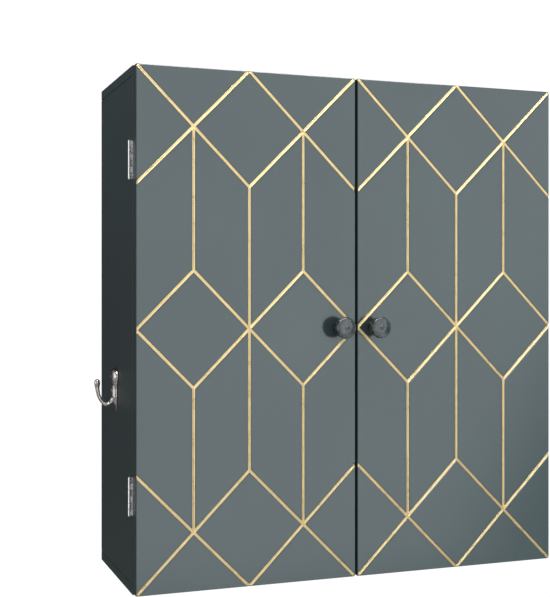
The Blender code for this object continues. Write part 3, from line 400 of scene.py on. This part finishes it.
FINISHES = {
    "door_lacquer": lacquer("door_lacquer", (0.047, 0.068, 0.073), 0.13),
    "case_lacquer": lacquer("case_lacquer", (0.050, 0.074, 0.078), 0.34),
    "black_lining": two_faced_back("black_lining"),
    "rail_wood": softwood("rail_wood"),
    "gold": brushed_gold("gold"),
    "nickel": plated("nickel", (0.860, 0.860, 0.850), 0.20, 0.32, scratch=0.000004,
                     tarnish=(0.760, 0.755, 0.740)),
    "pewter": cast_pewter("pewter"),
    "steel": plated("steel", (0.560, 0.570, 0.580), 0.24, 0.44, tarnish=(0.400, 0.395, 0.370)),
    "knob_lacquer": gloss_knob("knob_lacquer"),
    "chalk_board": chalk_board("chalk_board"),
    "rubber": moulded("rubber", (0.028, 0.028, 0.029), 0.70),
    "catch_plastic": moulded("catch_plastic", (0.560, 0.545, 0.505), 0.42),
    "ferrite": moulded("ferrite", (0.048, 0.048, 0.052), 0.55, grain=800.0, depth=0.00006),
    "sisal": sisal_face("sisal"),
    "chipboard": flakeboard("chipboard"),
    "band_steel": plated("band_steel", (0.070, 0.071, 0.074), 0.32, 0.52,
                         tarnish=(0.120, 0.115, 0.105)),
    "wire_steel": plated("wire_steel", (0.620, 0.620, 0.610), 0.20, 0.36),
    "chalk": chalk("chalk"),
}

SLOT_OF = {subpart["node"]: subpart["material_slot"] for subpart in frame["record"]["subparts"]}
for node_name, node in NODES.items():
    node.data.materials.clear()
    node.data.materials.append(FINISHES[SLOT_OF[node_name]])


# ================================================================ mesh helpers
def piece(name, verts, faces, finish, body, sharp=35.0, stands_for=()):
    """A smooth-shaded mesh that rides on a body, with its finish in its slot."""
    mesh = bpy.data.meshes.new(name)
    mesh.from_pydata([tuple(vert) for vert in verts], [], faces)
    shell = bmesh.new()
    shell.from_mesh(mesh)
    bmesh.ops.recalc_face_normals(shell, faces=shell.faces)
    shell.to_mesh(mesh)
    shell.free()
    mesh.materials.append(FINISHES[finish])
    mesh.shade_smooth()
    mesh.set_sharp_from_angle(angle=math.radians(sharp))
    made = bpy.data.objects.new(name, mesh)
    bpy.context.scene.collection.objects.link(made)
    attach(made, body)
    if stands_for:
        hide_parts(*stands_for)
    return made


def frame_of(axis):
    """Two directions across an axis, and the axis."""
    forward = Vector(axis).normalized()
    across = Vector((0, 0, 1)) if abs(forward.z) < 0.9 else Vector((1, 0, 0))
    first = across.cross(forward).normalized()
    return first, forward.cross(first).normalized(), forward


def turns(count):
    """The angles of so many steps around a circle."""
    return [2 * math.pi * step / count for step in range(count)]


def add_ring(verts, spots):
    """Appends a ring of vertices and gives their numbers."""
    first = len(verts)
    verts.extend(spots)
    return range(first, len(verts))


def skin(rings):
    """Faces from each ring of vertices to the next; a ring of one vertex is a pole."""
    faces = []
    for lower, upper in zip(rings, rings[1:]):
        count = max(len(lower), len(upper))
        for step in range(count):
            after = (step + 1) % count
            if len(lower) == 1:
                faces.append((lower[0], upper[after], upper[step]))
            elif len(upper) == 1:
                faces.append((lower[step], lower[after], upper[0]))
            else:
                faces.append((lower[step], lower[after], upper[after], upper[step]))
    return faces


def capped(rings):
    """Faces between rings, closed flat at both ends."""
    return skin(rings) + [tuple(rings[0]), tuple(reversed(rings[-1]))]


def curve_through(points, steps):
    """Catmull-Rom curve through points of any dimension."""
    smooth = []
    padded = [points[0], *points, points[-1]]
    for a, b, c, d in zip(padded, padded[1:], padded[2:], padded[3:]):
        for step in range(steps):
            t = step / steps
            smooth.append(tuple(
                0.5 * (2 * q + (r - p) * t + (2 * p - 5 * q + 4 * r - s) * t ** 2
                       + (3 * q - p - 3 * r + s) * t ** 3)
                for p, q, r, s in zip(a, b, c, d)))
    smooth.append(tuple(points[-1]))
    return smooth


def extent(box, axis):
    """The size of a box along an axis."""
    return getattr(box[1], axis) - getattr(box[0], axis)


def centre_of(box):
    return (box[0] + box[1]) / 2


# ================================================================ knobs
SEAT_GAP = 0.0003  # knobs and their bolts sit this far clear of the door's faces
KNOB_SHARP = 60.0
KNOB_SEGMENTS = 96
# Stem, rolled rim and crowned face with a bead, as shares of the knob's radius and height
KNOB_PROFILE = (
    (0.560, 0.0), (0.575, 0.020), (0.560, 0.075), (0.500, 0.150), (0.440, 0.260), (0.425, 0.360),
    (0.470, 0.460), (0.620, 0.550), (0.820, 0.610), (0.940, 0.660), (0.990, 0.720),
    (1.000, 0.770), (0.985, 0.825), (0.940, 0.872), (0.880, 0.900), (0.840, 0.908),
    (0.815, 0.904), (0.780, 0.910), (0.640, 0.934), (0.430, 0.950), (0.260, 0.956),
    (0.205, 0.958), (0.170, 0.978), (0.110, 0.995),
)


def lathe(profile, origin, axis):
    """Vertices and faces of a turned body; profile is (radius, height) pairs, axis to axis."""
    first, second, forward = frame_of(axis)
    verts, rings = [], []
    for radius, height in profile:
        centre = Vector(origin) + forward * height
        rings.append(add_ring(verts, [
            centre + (first * math.cos(turn) + second * math.sin(turn)) * radius
            for turn in turns(KNOB_SEGMENTS if radius else 1)]))
    return verts, skin(rings)


def knobs():
    """Turned mushroom knobs: a waisted stem, a rolled rim and a low crowned face with a bead."""
    for side in SIDES:
        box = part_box(side + "_knob")
        centre = centre_of(box)
        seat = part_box(side + "_door_panel")[0].y - SEAT_GAP
        tall = seat - box[0].y
        turned = [(share * extent(box, "x") / 2, height * tall) for share, height in KNOB_PROFILE]
        profile = [(0.0, 0.0), *curve_through(turned, 4), (0.0, tall)]
        verts, faces = lathe(profile, (centre.x, seat, centre.z), (0, -1, 0))
        piece(side + "_turned_knob", verts, faces, "knob_lacquer", side + "_door",
              sharp=KNOB_SHARP, stands_for=[side + "_knob"])


# ================================================================ screws
SCREW_SEGMENTS, SCREW_ROWS = 40, 14
SCREW_SHARP = 50.0
SHANK_SHARE = 0.35  # shank's radius as a share of the head's
SHANK_POINT = 0.3  # length of the shank's point, likewise
DOME_FALL, DOME_POWER = 0.62, 2.4  # how a domed head falls away towards its rim

# The pressed cross, as shares of the head's radius unless said otherwise
CROSS_ARM = 0.16  # half an arm's width
CROSS_REACH = 0.60  # an arm's length from the middle
CROSS_SINK_FLAT = 0.35  # depth in a flat head
CROSS_SINK_DOMED = 0.7  # depth in a domed head, as a share of its height
CROSS_WALL = 0.35  # width of an arm's sloping wall, as a share of half its width
CROSS_END = 0.30  # length of the slope at its end, as a share of its reach

HOOK_SCREW = {"height": 0.0015, "shank": 0.003}
HOOK_SCREW_SINK = 0.0028  # seat of a hook's screw, behind the CAD screw's outer face
KNOB_BOLT_SHANK = 0.012
BRACKET_SCREW = {"height": 0.0018, "shank": 0.006}
STRIKE_SCREW = {"radius": 0.0030, "height": 0.0004, "flat": True}
CATCH_SCREW = {"radius": 0.0024, "height": 0.0009}
CATCH_SCREW_INSET = 0.0042
HINGE_SCREW = {"radius": 0.0021, "height": 0.00008, "flat": True}
HINGE_SCREW_INSET = 0.0040
HINGE_SCREW_SEAT = 0.00015  # height of the seat over the middle of the gap between the leaves
HINGE_SCREW_SPOTS = (0.18, 0.5, 0.82)  # along a leaf


def screw_head(name, at, axis, radius, height, finish, body, spin=0.0, flat=False, shank=0.0,
               stands_for=()):
    """Domed or countersunk head with a pressed cross recess; at is the seat, axis points out."""
    first, second, forward = frame_of(axis)
    arm, reach = CROSS_ARM * radius, CROSS_REACH * radius
    sink = CROSS_SINK_FLAT * radius if flat else CROSS_SINK_DOMED * height

    def level(across, up):
        away = math.hypot(across, up) / radius
        top = height if flat else height * (1 - DOME_FALL * away ** DOME_POWER)
        low, high = sorted((abs(across), abs(up)))
        within = min((arm - low) / (CROSS_WALL * arm), (reach - high) / (CROSS_END * reach))
        return top - sink * min(1.0, max(0.0, within)) * max(0.0, 1 - (high / reach) ** 3)

    verts, rings = [], []
    for row in range(SCREW_ROWS + 1):
        share = row / SCREW_ROWS
        spots = []
        for turn in turns(SCREW_SEGMENTS if row else 1):
            across, up = share * radius * math.cos(turn), share * radius * math.sin(turn)
            out = level(across * math.cos(spin) + up * math.sin(spin),
                        up * math.cos(spin) - across * math.sin(spin))
            spots.append(Vector(at) + first * across + second * up + forward * out)
        rings.append(add_ring(verts, spots))
    under = [(1.0, 0.0), (0.0, 0.0)]
    if shank:
        tip = -shank - SHANK_POINT * radius
        under = [(1.0, 0.0), (SHANK_SHARE, 0.0), (SHANK_SHARE, -shank), (0.0, tip)]
    for share, out in under:
        rings.append(add_ring(verts, [
            Vector(at) + (first * math.cos(turn) + second * math.sin(turn)) * radius * share
            + forward * out for turn in turns(SCREW_SEGMENTS if share else 1)]))
    return piece(name, verts, skin(rings), finish, body, sharp=SCREW_SHARP, stands_for=stands_for)


def fastenings():
    """Cross-headed screws in place of the plain ones, and the strike, catch and hinge screws."""
    for side, sign in SIDES.items():
        door = side + "_door"
        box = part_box(side + "_knob_screw")
        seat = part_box(side + "_door_panel")[1].y + SEAT_GAP
        centre = centre_of(box)
        screw_head(side + "_knob_bolt", (centre.x, seat, centre.z), (0, 1, 0),
                   extent(box, "x") / 2, box[1].y - seat, "steel", door, 0.3,
                   shank=KNOB_BOLT_SHANK, stands_for=[side + "_knob_screw"])

        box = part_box("bracket_" + side + "_screw")
        centre = centre_of(box)
        seat = box[0].y + BRACKET_SCREW["height"]
        screw_head("bracket_" + side + "_fixing", (centre.x, seat, centre.z), (0, -1, 0),
                   extent(box, "x") / 2, finish="steel", body="cabinet", spin=0.8,
                   stands_for=["bracket_" + side + "_screw"], **BRACKET_SCREW)

        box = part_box(side + "_strike_plate")
        centre = centre_of(box)
        screw_head(side + "_strike_screw", (centre.x, box[1].y, centre.z), (0, 1, 0),
                   finish="steel", body=door, spin=0.6, **STRIKE_SCREW)

        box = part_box(side + "_catch_housing")
        for index, x in enumerate((box[0].x + CATCH_SCREW_INSET, box[1].x - CATCH_SCREW_INSET)):
            screw_head("%s_catch_screw_%d" % (side, index + 1),
                       (x, centre_of(box).y, box[0].z), (0, 0, -1),
                       finish="steel", body="cabinet", spin=0.4 + index, **CATCH_SCREW)

        seam = (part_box(side + "_side_panel")[0].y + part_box(side + "_door_panel")[1].y) / 2
        for level in LEVELS:
            for leaf, body, way in (("door", door, 1), ("case", "cabinet", -1)):
                low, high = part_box("%s_%s_hinge_%s_leaf" % (side, level, leaf))
                x = (low.x if sign > 0 else high.x) + sign * HINGE_SCREW_INSET
                for index, share in enumerate(HINGE_SCREW_SPOTS):
                    at = (x, seam - way * HINGE_SCREW_SEAT, low.z + share * (high.z - low.z))
                    screw_head("%s_%s_%s_hinge_screw_%d" % (side, level, leaf, index + 1), at,
                               (0, way, 0), finish="nickel", body=body, spin=0.5 * index,
                               **HINGE_SCREW)


# ================================================================ side hooks
HOOK_REACH = 0.0275  # of the prong, out from the side panel
HOOK_THICKNESS = 0.0072  # of the back plate at its thickest
HOOK_CROWN = 0.75  # below 1 the plate's section is fuller than a half round
HOOK_PLATE_SEGMENTS, HOOK_PRONG_SEGMENTS = 28, 24
HOOK_VOXEL = 0.00042
HOOK_SMOOTHING = {"factor": 0.5, "iterations": 7}
# Back plate from bottom to top: share of the height, of the half width and of the thickness
HOOK_PLATE = (
    (0.000, 0.06, 0.10), (0.060, 0.17, 0.17), (0.140, 0.27, 0.28), (0.220, 0.46, 0.58),
    (0.320, 0.60, 0.86), (0.450, 0.58, 0.90), (0.580, 0.64, 0.92), (0.680, 0.84, 0.97),
    (0.800, 1.00, 1.00), (0.900, 0.87, 0.92), (0.965, 0.54, 0.66), (1.000, 0.12, 0.22),
)
# Prong from root to ball end: share of the reach, share of the height, radius in metres
HOOK_PRONG = (
    (0.10, 0.300, 0.0040), (0.16, 0.262, 0.0036), (0.25, 0.205, 0.0031), (0.37, 0.168, 0.0028),
    (0.52, 0.180, 0.0026), (0.68, 0.255, 0.0024), (0.79, 0.365, 0.0023), (0.84, 0.480, 0.0025),
    (0.86, 0.570, 0.0029), (0.86, 0.620, 0.0035), (0.86, 0.665, 0.0037), (0.86, 0.705, 0.0031),
    (0.86, 0.730, 0.0018), (0.86, 0.738, 0.0006),
)


def hook_plate(verts, origin, sign, tall, half_width):
    """Rings of the crowned, waisted back plate, flat against the side panel."""
    rings = []
    for share, width, depth in curve_through(HOOK_PLATE, 5):
        spots = []
        for step in range(HOOK_PLATE_SEGMENTS):
            turn = math.pi * step / (HOOK_PLATE_SEGMENTS - 1)
            out = depth * HOOK_THICKNESS * math.sin(turn) ** HOOK_CROWN
            across = -width * half_width * math.cos(turn)
            spots.append((origin.x + sign * out, origin.y + across, origin.z + share * tall))
        rings.append(add_ring(verts, spots))
    return rings


def hook_prong(verts, origin, sign, tall):
    """Rings of the round prong, along a path out from the side panel and up."""
    rings = []
    rows = curve_through(HOOK_PRONG, 5)
    path = [(out * HOOK_REACH, up * tall) for out, up, _ in rows]
    for index, ((out, up), (_, _, radius)) in enumerate(zip(path, rows)):
        ahead, behind = path[min(index + 1, len(path) - 1)], path[max(index - 1, 0)]
        way = Vector((ahead[0] - behind[0], ahead[1] - behind[1])).normalized()
        spots = []
        for turn in turns(HOOK_PRONG_SEGMENTS):
            aside = radius * math.cos(turn)
            spots.append((origin.x + sign * (out - way.y * aside),
                          origin.y + radius * math.sin(turn), origin.z + up + way.x * aside))
        rings.append(add_ring(verts, spots))
    return rings


def fuse(made):
    """Melts an object's overlapping shells into one smooth casting."""
    for kind, values in (("REMESH", {"mode": "VOXEL", "voxel_size": HOOK_VOXEL}),
                         ("SMOOTH", HOOK_SMOOTHING)):
        modifier = made.modifiers.new(kind.lower(), kind)
        for key, value in values.items():
            setattr(modifier, key, value)
    bpy.context.view_layer.update()
    evaluated = made.evaluated_get(bpy.context.evaluated_depsgraph_get())
    made.data = bpy.data.meshes.new_from_object(evaluated)
    made.modifiers.clear()
    made.data.shade_smooth()


def side_hooks():
    """Cast hooks: a crowned, waisted back plate that runs into a curled prong with a ball end."""
    for side, sign in SIDES.items():
        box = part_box(side + "_side_hook")
        wall = box[0].x if sign > 0 else box[1].x
        origin = Vector((wall, centre_of(box).y, box[0].z))
        tall = extent(box, "z")
        verts = []
        plate = hook_plate(verts, origin, sign, tall, extent(box, "y") / 2)
        prong = hook_prong(verts, origin, sign, tall)
        fuse(piece(side + "_cast_hook", verts, capped(plate) + capped(prong), "pewter", "cabinet",
                   sharp=180.0, stands_for=[side + "_side_hook"]))
        for level, spin in (("top", 0.5), ("bottom", 1.1)):
            screw = side + "_hook_" + level + "_screw"
            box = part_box(screw)
            face = box[1].x if sign > 0 else -box[0].x
            at = (sign * (face - HOOK_SCREW_SINK), origin.y, centre_of(box).z)
            screw_head(screw + "_head", at, (sign, 0, 0), extent(box, "z") / 2, finish="pewter",
                       body="cabinet", spin=spin, stands_for=[screw], **HOOK_SCREW)


# ================================================================ dart board wires
WEB_WIRE, RING_WIRE, NUMERAL_WIRE = 0.0006, 0.0010, 0.0008  # radii
WIRE_SEGMENTS = 8
WEB_STEPS, RING_STEPS = 128, 160
RING_INSET = 0.0011  # number ring's wire, in from the CAD ring's edge
NUMERAL_INSET = 0.0014  # top of the numerals, in from the number ring's wire
NUMERAL_TALL, NUMERAL_BROAD, NUMERAL_GAP = 0.0200, 0.0105, 0.0030
NUMERAL_TURNED = -0.1  # numerals below this cosine stand the other way up, to be read
BOARD_NUMBERS = (20, 1, 18, 4, 13, 6, 10, 15, 2, 17, 3, 19, 7, 16, 8, 11, 14, 9, 12, 5)
# One bent wire to a digit, in shares of its width and height
NUMERALS = {
    "0": ((0.5, 1), (0.1, 0.75), (0.1, 0.25), (0.5, 0), (0.9, 0.25), (0.9, 0.75), (0.5, 1)),
    "1": ((0.25, 0.8), (0.5, 1), (0.5, 0.5), (0.5, 0)),
    "2": ((0.1, 0.75), (0.45, 1), (0.85, 0.75), (0.5, 0.35), (0.1, 0.02), (0.5, 0.0),
          (0.95, 0.0)),
    "3": ((0.1, 0.85), (0.5, 1), (0.85, 0.78), (0.45, 0.55), (0.9, 0.27), (0.5, 0),
          (0.1, 0.14)),
    "4": ((0.75, 0), (0.75, 0.5), (0.75, 1), (0.4, 0.6), (0.08, 0.28), (0.5, 0.28),
          (0.98, 0.28)),
    "5": ((0.85, 1), (0.5, 1), (0.2, 0.98), (0.16, 0.6), (0.55, 0.64), (0.9, 0.33),
          (0.55, 0), (0.1, 0.1)),
    "6": ((0.75, 1), (0.3, 0.72), (0.1, 0.3), (0.5, 0), (0.88, 0.28), (0.5, 0.55),
          (0.16, 0.36)),
    "7": ((0.1, 1), (0.5, 1), (0.92, 0.98), (0.6, 0.5), (0.38, 0)),
    "8": ((0.5, 0.53), (0.15, 0.77), (0.5, 1), (0.85, 0.77), (0.5, 0.53), (0.1, 0.25),
          (0.5, 0), (0.9, 0.25), (0.5, 0.53)),
    "9": ((0.25, 0), (0.7, 0.28), (0.9, 0.7), (0.5, 1), (0.12, 0.72), (0.5, 0.45),
          (0.84, 0.64)),
}


def add_wire(verts, faces, points, radius, closed=False):
    """A round wire along points of the board's plane, closed or cut off square."""
    points = [Vector(point) for point in points]
    total = len(points)
    out = Vector((0, -1, 0))
    rings = []
    for index, spot in enumerate(points):
        ahead = points[(index + 1) % total] if closed else points[min(index + 1, total - 1)]
        behind = points[index - 1] if closed or index else spot
        across = (ahead - behind).normalized().cross(out).normalized()
        rings.append(add_ring(verts, [
            spot + (across * math.cos(turn) + out * math.sin(turn)) * radius
            for turn in turns(WIRE_SEGMENTS)]))
    faces.extend(skin(rings + rings[:1]) if closed else capped(rings))


def dart_wires():
    """Round wires of the dart board and its number ring, with bent-wire numerals."""
    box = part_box("board_wire_spider")
    centre = centre_of(box)

    def spot(turn, radius, y):
        return centre.x + radius * math.sin(turn), y, centre.z + radius * math.cos(turn)

    verts, faces = [], []
    for radius in (INNER_BULL * BOARD_RINGS[0], *BOARD_RINGS):
        ring = [spot(turn, radius, centre.y) for turn in turns(WEB_STEPS)]
        add_wire(verts, faces, ring, WEB_WIRE, closed=True)
    for sector in range(SECTORS):
        turn = 2 * math.pi * (sector + 0.5) / SECTORS
        spoke = [spot(turn, radius, centre.y) for radius in (BOARD_RINGS[0], BOARD_RINGS[-1])]
        add_wire(verts, faces, spoke, WEB_WIRE)
    piece("board_wire_web", verts, faces, "wire_steel", "cabinet",
          stands_for=["board_wire_spider"])

    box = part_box("board_number_ring")
    outer = extent(box, "x") / 2 - RING_INSET
    depth = centre_of(box).y
    verts, faces = [], []
    ring = [spot(turn, outer, depth) for turn in turns(RING_STEPS)]
    add_wire(verts, faces, ring, RING_WIRE, closed=True)
    for turn, number in zip(turns(SECTORS), BOARD_NUMBERS):
        out = Vector((math.sin(turn), 0, math.cos(turn)))
        along = Vector((math.cos(turn), 0, -math.sin(turn)))
        up, right = (-out, -along) if math.cos(turn) < NUMERAL_TURNED else (out, along)
        digits = str(number)
        width = len(digits) * NUMERAL_BROAD + (len(digits) - 1) * NUMERAL_GAP
        middle = (Vector((centre.x, depth, centre.z))
                  + out * (outer - 0.5 * NUMERAL_TALL - NUMERAL_INSET))
        for place, digit in enumerate(digits):
            left = width / 2 - place * (NUMERAL_BROAD + NUMERAL_GAP)
            corner = middle - right * left - up * NUMERAL_TALL / 2
            stroke = [corner + right * x * NUMERAL_BROAD + up * y * NUMERAL_TALL
                      for x, y in curve_through(NUMERALS[digit], 5)]
            add_wire(verts, faces, stroke, NUMERAL_WIRE)
    piece("board_numeral_wires", verts, faces, "wire_steel", "cabinet",
          stands_for=["board_number_ring"])


# ================================================================ score lines
SCORE_INSET = 0.0190  # ends of the lines, in from the scoreboard frame's outer edge
SCORE_HEADER = 0.0330  # height of the row for names
SCORE_HALF_WIDTH = 0.0006
SCORE_FROM, SCORE_TO = 0.00002, 0.00012  # back and face of a line, over the chalk surface
SCORE_STEPS = 24
SCORE_WOBBLE = 0.00012  # how far the hand strays


def score_line(verts, faces, face, x0, x1, z0, z1):
    """One painted line over a rectangle, along its longer side."""
    first = len(verts)
    for row in range(SCORE_STEPS + 1):
        share = row / SCORE_STEPS
        wobble = SCORE_WOBBLE * math.sin(17.0 * share + 3.0 * x0 * 100)
        if x1 - x0 > z1 - z0:
            x = x0 + (x1 - x0) * share
            spots = ((x, z0 + wobble), (x, z1 + wobble))
        else:
            z = z0 + (z1 - z0) * share
            spots = ((x0 + wobble, z), (x1 + wobble, z))
        verts.extend((x, face + lift, z) for lift in (SCORE_FROM, SCORE_TO) for x, z in spots)
    for a in range(first, first + 4 * SCORE_STEPS, 4):
        b = a + 4
        faces.extend(((a, a + 1, b + 1, b), (a + 2, b + 2, b + 3, a + 3),
                      (a, b, b + 2, a + 2), (a + 1, a + 3, b + 3, b + 1)))
    last = first + 4 * SCORE_STEPS
    faces.extend(((first, first + 2, first + 3, first + 1),
                  (last, last + 1, last + 3, last + 2)))


def scoreboard_lines():
    """Painted dividing lines of the score columns, a hair proud of the chalk surface."""
    for side in SIDES:
        low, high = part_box(side + "_scoreboard_frame")
        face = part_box(side + "_scoreboard")[1].y
        left, right = low.x + SCORE_INSET, high.x - SCORE_INSET
        bottom, top = low.z + SCORE_INSET, high.z - SCORE_INSET
        column, rule = (left + right) / 2, top - SCORE_HEADER
        half = SCORE_HALF_WIDTH
        verts, faces = [], []
        score_line(verts, faces, face, left, right, rule - half, rule + half)
        score_line(verts, faces, face, column - half, column + half, bottom, top)
        piece(side + "_score_lines", verts, faces, "chalk", side + "_door")


knobs()
side_hooks()
fastenings()
dart_wires()
scoreboard_lines()


# ================================================================ stage, camera, light
FLOOR_HALF_SIZE = 3.4
FLOOR_FORWARD, FLOOR_DROP = -0.6, 1.1  # the cabinet hangs high above the floor, as on a wall

LENS, SENSOR = 65.475, 36.0
LENS_SHIFT = (0.05276, -0.0129)
CAMERA_SPOT = (-0.5606, -1.3981, 0.0452)
CAMERA_HEADING = -19.03  # degrees; the camera is level

LIT_SPOT = (0.0, -0.15, 0.0)  # the lamps stand around this and face it

BACKDROP_LEVEL = 1.05  # white behind the cabinet, seen by the camera only
ROOM_LEVEL, ROOM_LEFT_LEVEL = 0.035, 0.10  # the dim room, and how much more it has on the left
ROOM_LEFT, ROOM_LEFT_SLOPE = (-0.9, -0.4, 0.0), (-0.2, 0.9)
ROOM_COLOUR = (0.97, 0.99, 1.0)
SCREEN_LEVEL = 1.95
SCREEN_RIGHT_EDGE = ((30.7, -13.6), (34.9, -5.5))  # two directions on the leaning right edge
SCREEN_EDGE_SOFTNESS = 0.045


def stage_floor():
    """Pale floor well below the cabinet."""
    surface = Surface("studio_floor", (0.860, 0.860, 0.860), 0.9)
    patch = surface.noise(1.2, detail=2.0)
    surface.use(Base_Color=surface.mix(surface.share(patch, *MIDDLE), (0.850, 0.850, 0.850),
                                       (0.880, 0.880, 0.880)))
    mesh = bpy.data.meshes.new("studio_floor")
    grid = bmesh.new()
    bmesh.ops.create_grid(grid, x_segments=8, y_segments=8, size=FLOOR_HALF_SIZE)
    grid.to_mesh(mesh)
    grid.free()
    mesh.materials.append(surface.material)
    floor = bpy.data.objects.new("studio_floor", mesh)
    floor.location = (0.0, FLOOR_FORWARD, CAD_BOX[0][2] - FLOOR_DROP)
    bpy.context.scene.collection.objects.link(floor)


def camera():
    lens = bpy.data.cameras.new("camera")
    lens.sensor_fit = "AUTO"
    lens.sensor_width = SENSOR
    lens.lens = LENS
    lens.shift_x, lens.shift_y = LENS_SHIFT
    lens.dof.use_dof = False
    view = bpy.data.objects.new("camera", lens)
    bpy.context.scene.collection.objects.link(view)
    view.location = CAMERA_SPOT
    view.rotation_euler = (math.radians(90), 0.0, math.radians(CAMERA_HEADING))
    bpy.context.scene.camera = view


def toward(azimuth, elevation):
    """Unit vector from the cabinet; azimuth is to the right of straight in front, in degrees."""
    turn, tilt = math.radians(azimuth), math.radians(elevation)
    level = math.cos(tilt)
    return Vector((math.sin(turn) * level, -math.cos(turn) * level, math.sin(tilt)))


# The screen's other borders: a direction, and the cosines to it where they start and end.
# In turn these are its two far sides, its foot and its top.
SCREEN_BORDERS = ((toward(50.0, 0.0), 0.30, 0.60), ((0, 0, 1), -0.42, -0.30),
                  ((0, 0, -1), -0.70, -0.45))


def light(name, azimuth, elevation, distance, size, power, colour=(1.0, 1.0, 1.0),
          glossy=True, diffuse=True):
    """Area light; one without glossy isn't mirrored, and one without diffuse is only mirrored."""
    lamp = bpy.data.lights.new(name, "AREA")
    lamp.shape = "RECTANGLE"
    lamp.size, lamp.size_y = size
    lamp.energy = power
    lamp.color = colour
    stand = bpy.data.objects.new(name, lamp)
    stand.location = Vector(LIT_SPOT) + toward(azimuth, elevation) * distance
    stand.rotation_euler = toward(azimuth, elevation).to_track_quat("Z", "Y").to_euler()
    stand.visible_glossy = glossy
    stand.visible_diffuse = diffuse
    bpy.context.scene.collection.objects.link(stand)


def world():
    """White to the camera; to everything else a dim room with one broad white screen in front."""
    room = bpy.data.worlds.new("room")
    room.use_nodes = True
    nodes = Nodes(room.node_tree)
    nodes.tree.nodes.clear()
    where = nodes.node("ShaderNodeTexCoord").outputs["Generated"]

    def slope(normal, start, end, most=1.0):
        """0 up to the most across the plane with that normal, without a hard edge."""
        return nodes.range(nodes.dot(where, normal), 0.0, most, start, end,
                           interpolation_type="SMOOTHSTEP")

    first, second = (toward(*spot) for spot in SCREEN_RIGHT_EDGE)
    edge = first.cross(second).normalized()
    screen = slope(edge, -SCREEN_EDGE_SOFTNESS, SCREEN_EDGE_SOFTNESS)
    for normal, start, end in SCREEN_BORDERS:
        screen = nodes.math("MULTIPLY", screen, slope(normal, start, end))
    left = slope(ROOM_LEFT, *ROOM_LEFT_SLOPE, most=ROOM_LEFT_LEVEL)
    level = nodes.math("ADD", nodes.math("MULTIPLY", screen, SCREEN_LEVEL),
                       nodes.math("ADD", left, ROOM_LEVEL))

    dim = nodes.node("ShaderNodeBackground", {"Color": (*ROOM_COLOUR, 1.0), "Strength": level})
    white = nodes.node("ShaderNodeBackground",
                       {"Color": (1.0, 1.0, 1.0, 1.0), "Strength": BACKDROP_LEVEL})
    to_camera = nodes.node("ShaderNodeLightPath").outputs["Is Camera Ray"]
    mix = nodes.node("ShaderNodeMixShader", {0: to_camera, 1: dim.outputs[0], 2: white.outputs[0]})
    nodes.node("ShaderNodeOutputWorld", {0: mix.outputs[0]})
    bpy.context.scene.world = room


stage_floor()
camera()
world()
# Name, azimuth and elevation in degrees, distance, width and height, power in watts
light("key", 22.0, -2.0, 4.0, (0.30, 0.30), 110.0, (1.0, 0.985, 0.96), glossy=False)
light("overhead", 10.0, 66.0, 2.4, (1.20, 0.80), 8.0, glossy=False)
light("overhead_strip", -2.0, 58.0, 2.4, (2.60, 0.45), 80.0, diffuse=False)
light("left_strip", -112.0, 14.0, 2.5, (1.6, 2.4), 4.0, diffuse=False)
light("hinge_strip", -76.0, 4.0, 2.6, (2.9, 2.2), 32.0, diffuse=False)
light("left_fill", -95.0, 56.0, 0.9, (0.4, 0.4), 1.3, (0.86, 0.98, 1.0), glossy=False)
light("back_fill", 150.0, 25.0, 4.0, (1.6, 1.6), 60.0, glossy=False)
bpy.context.scene.view_settings.view_transform = "Standard"
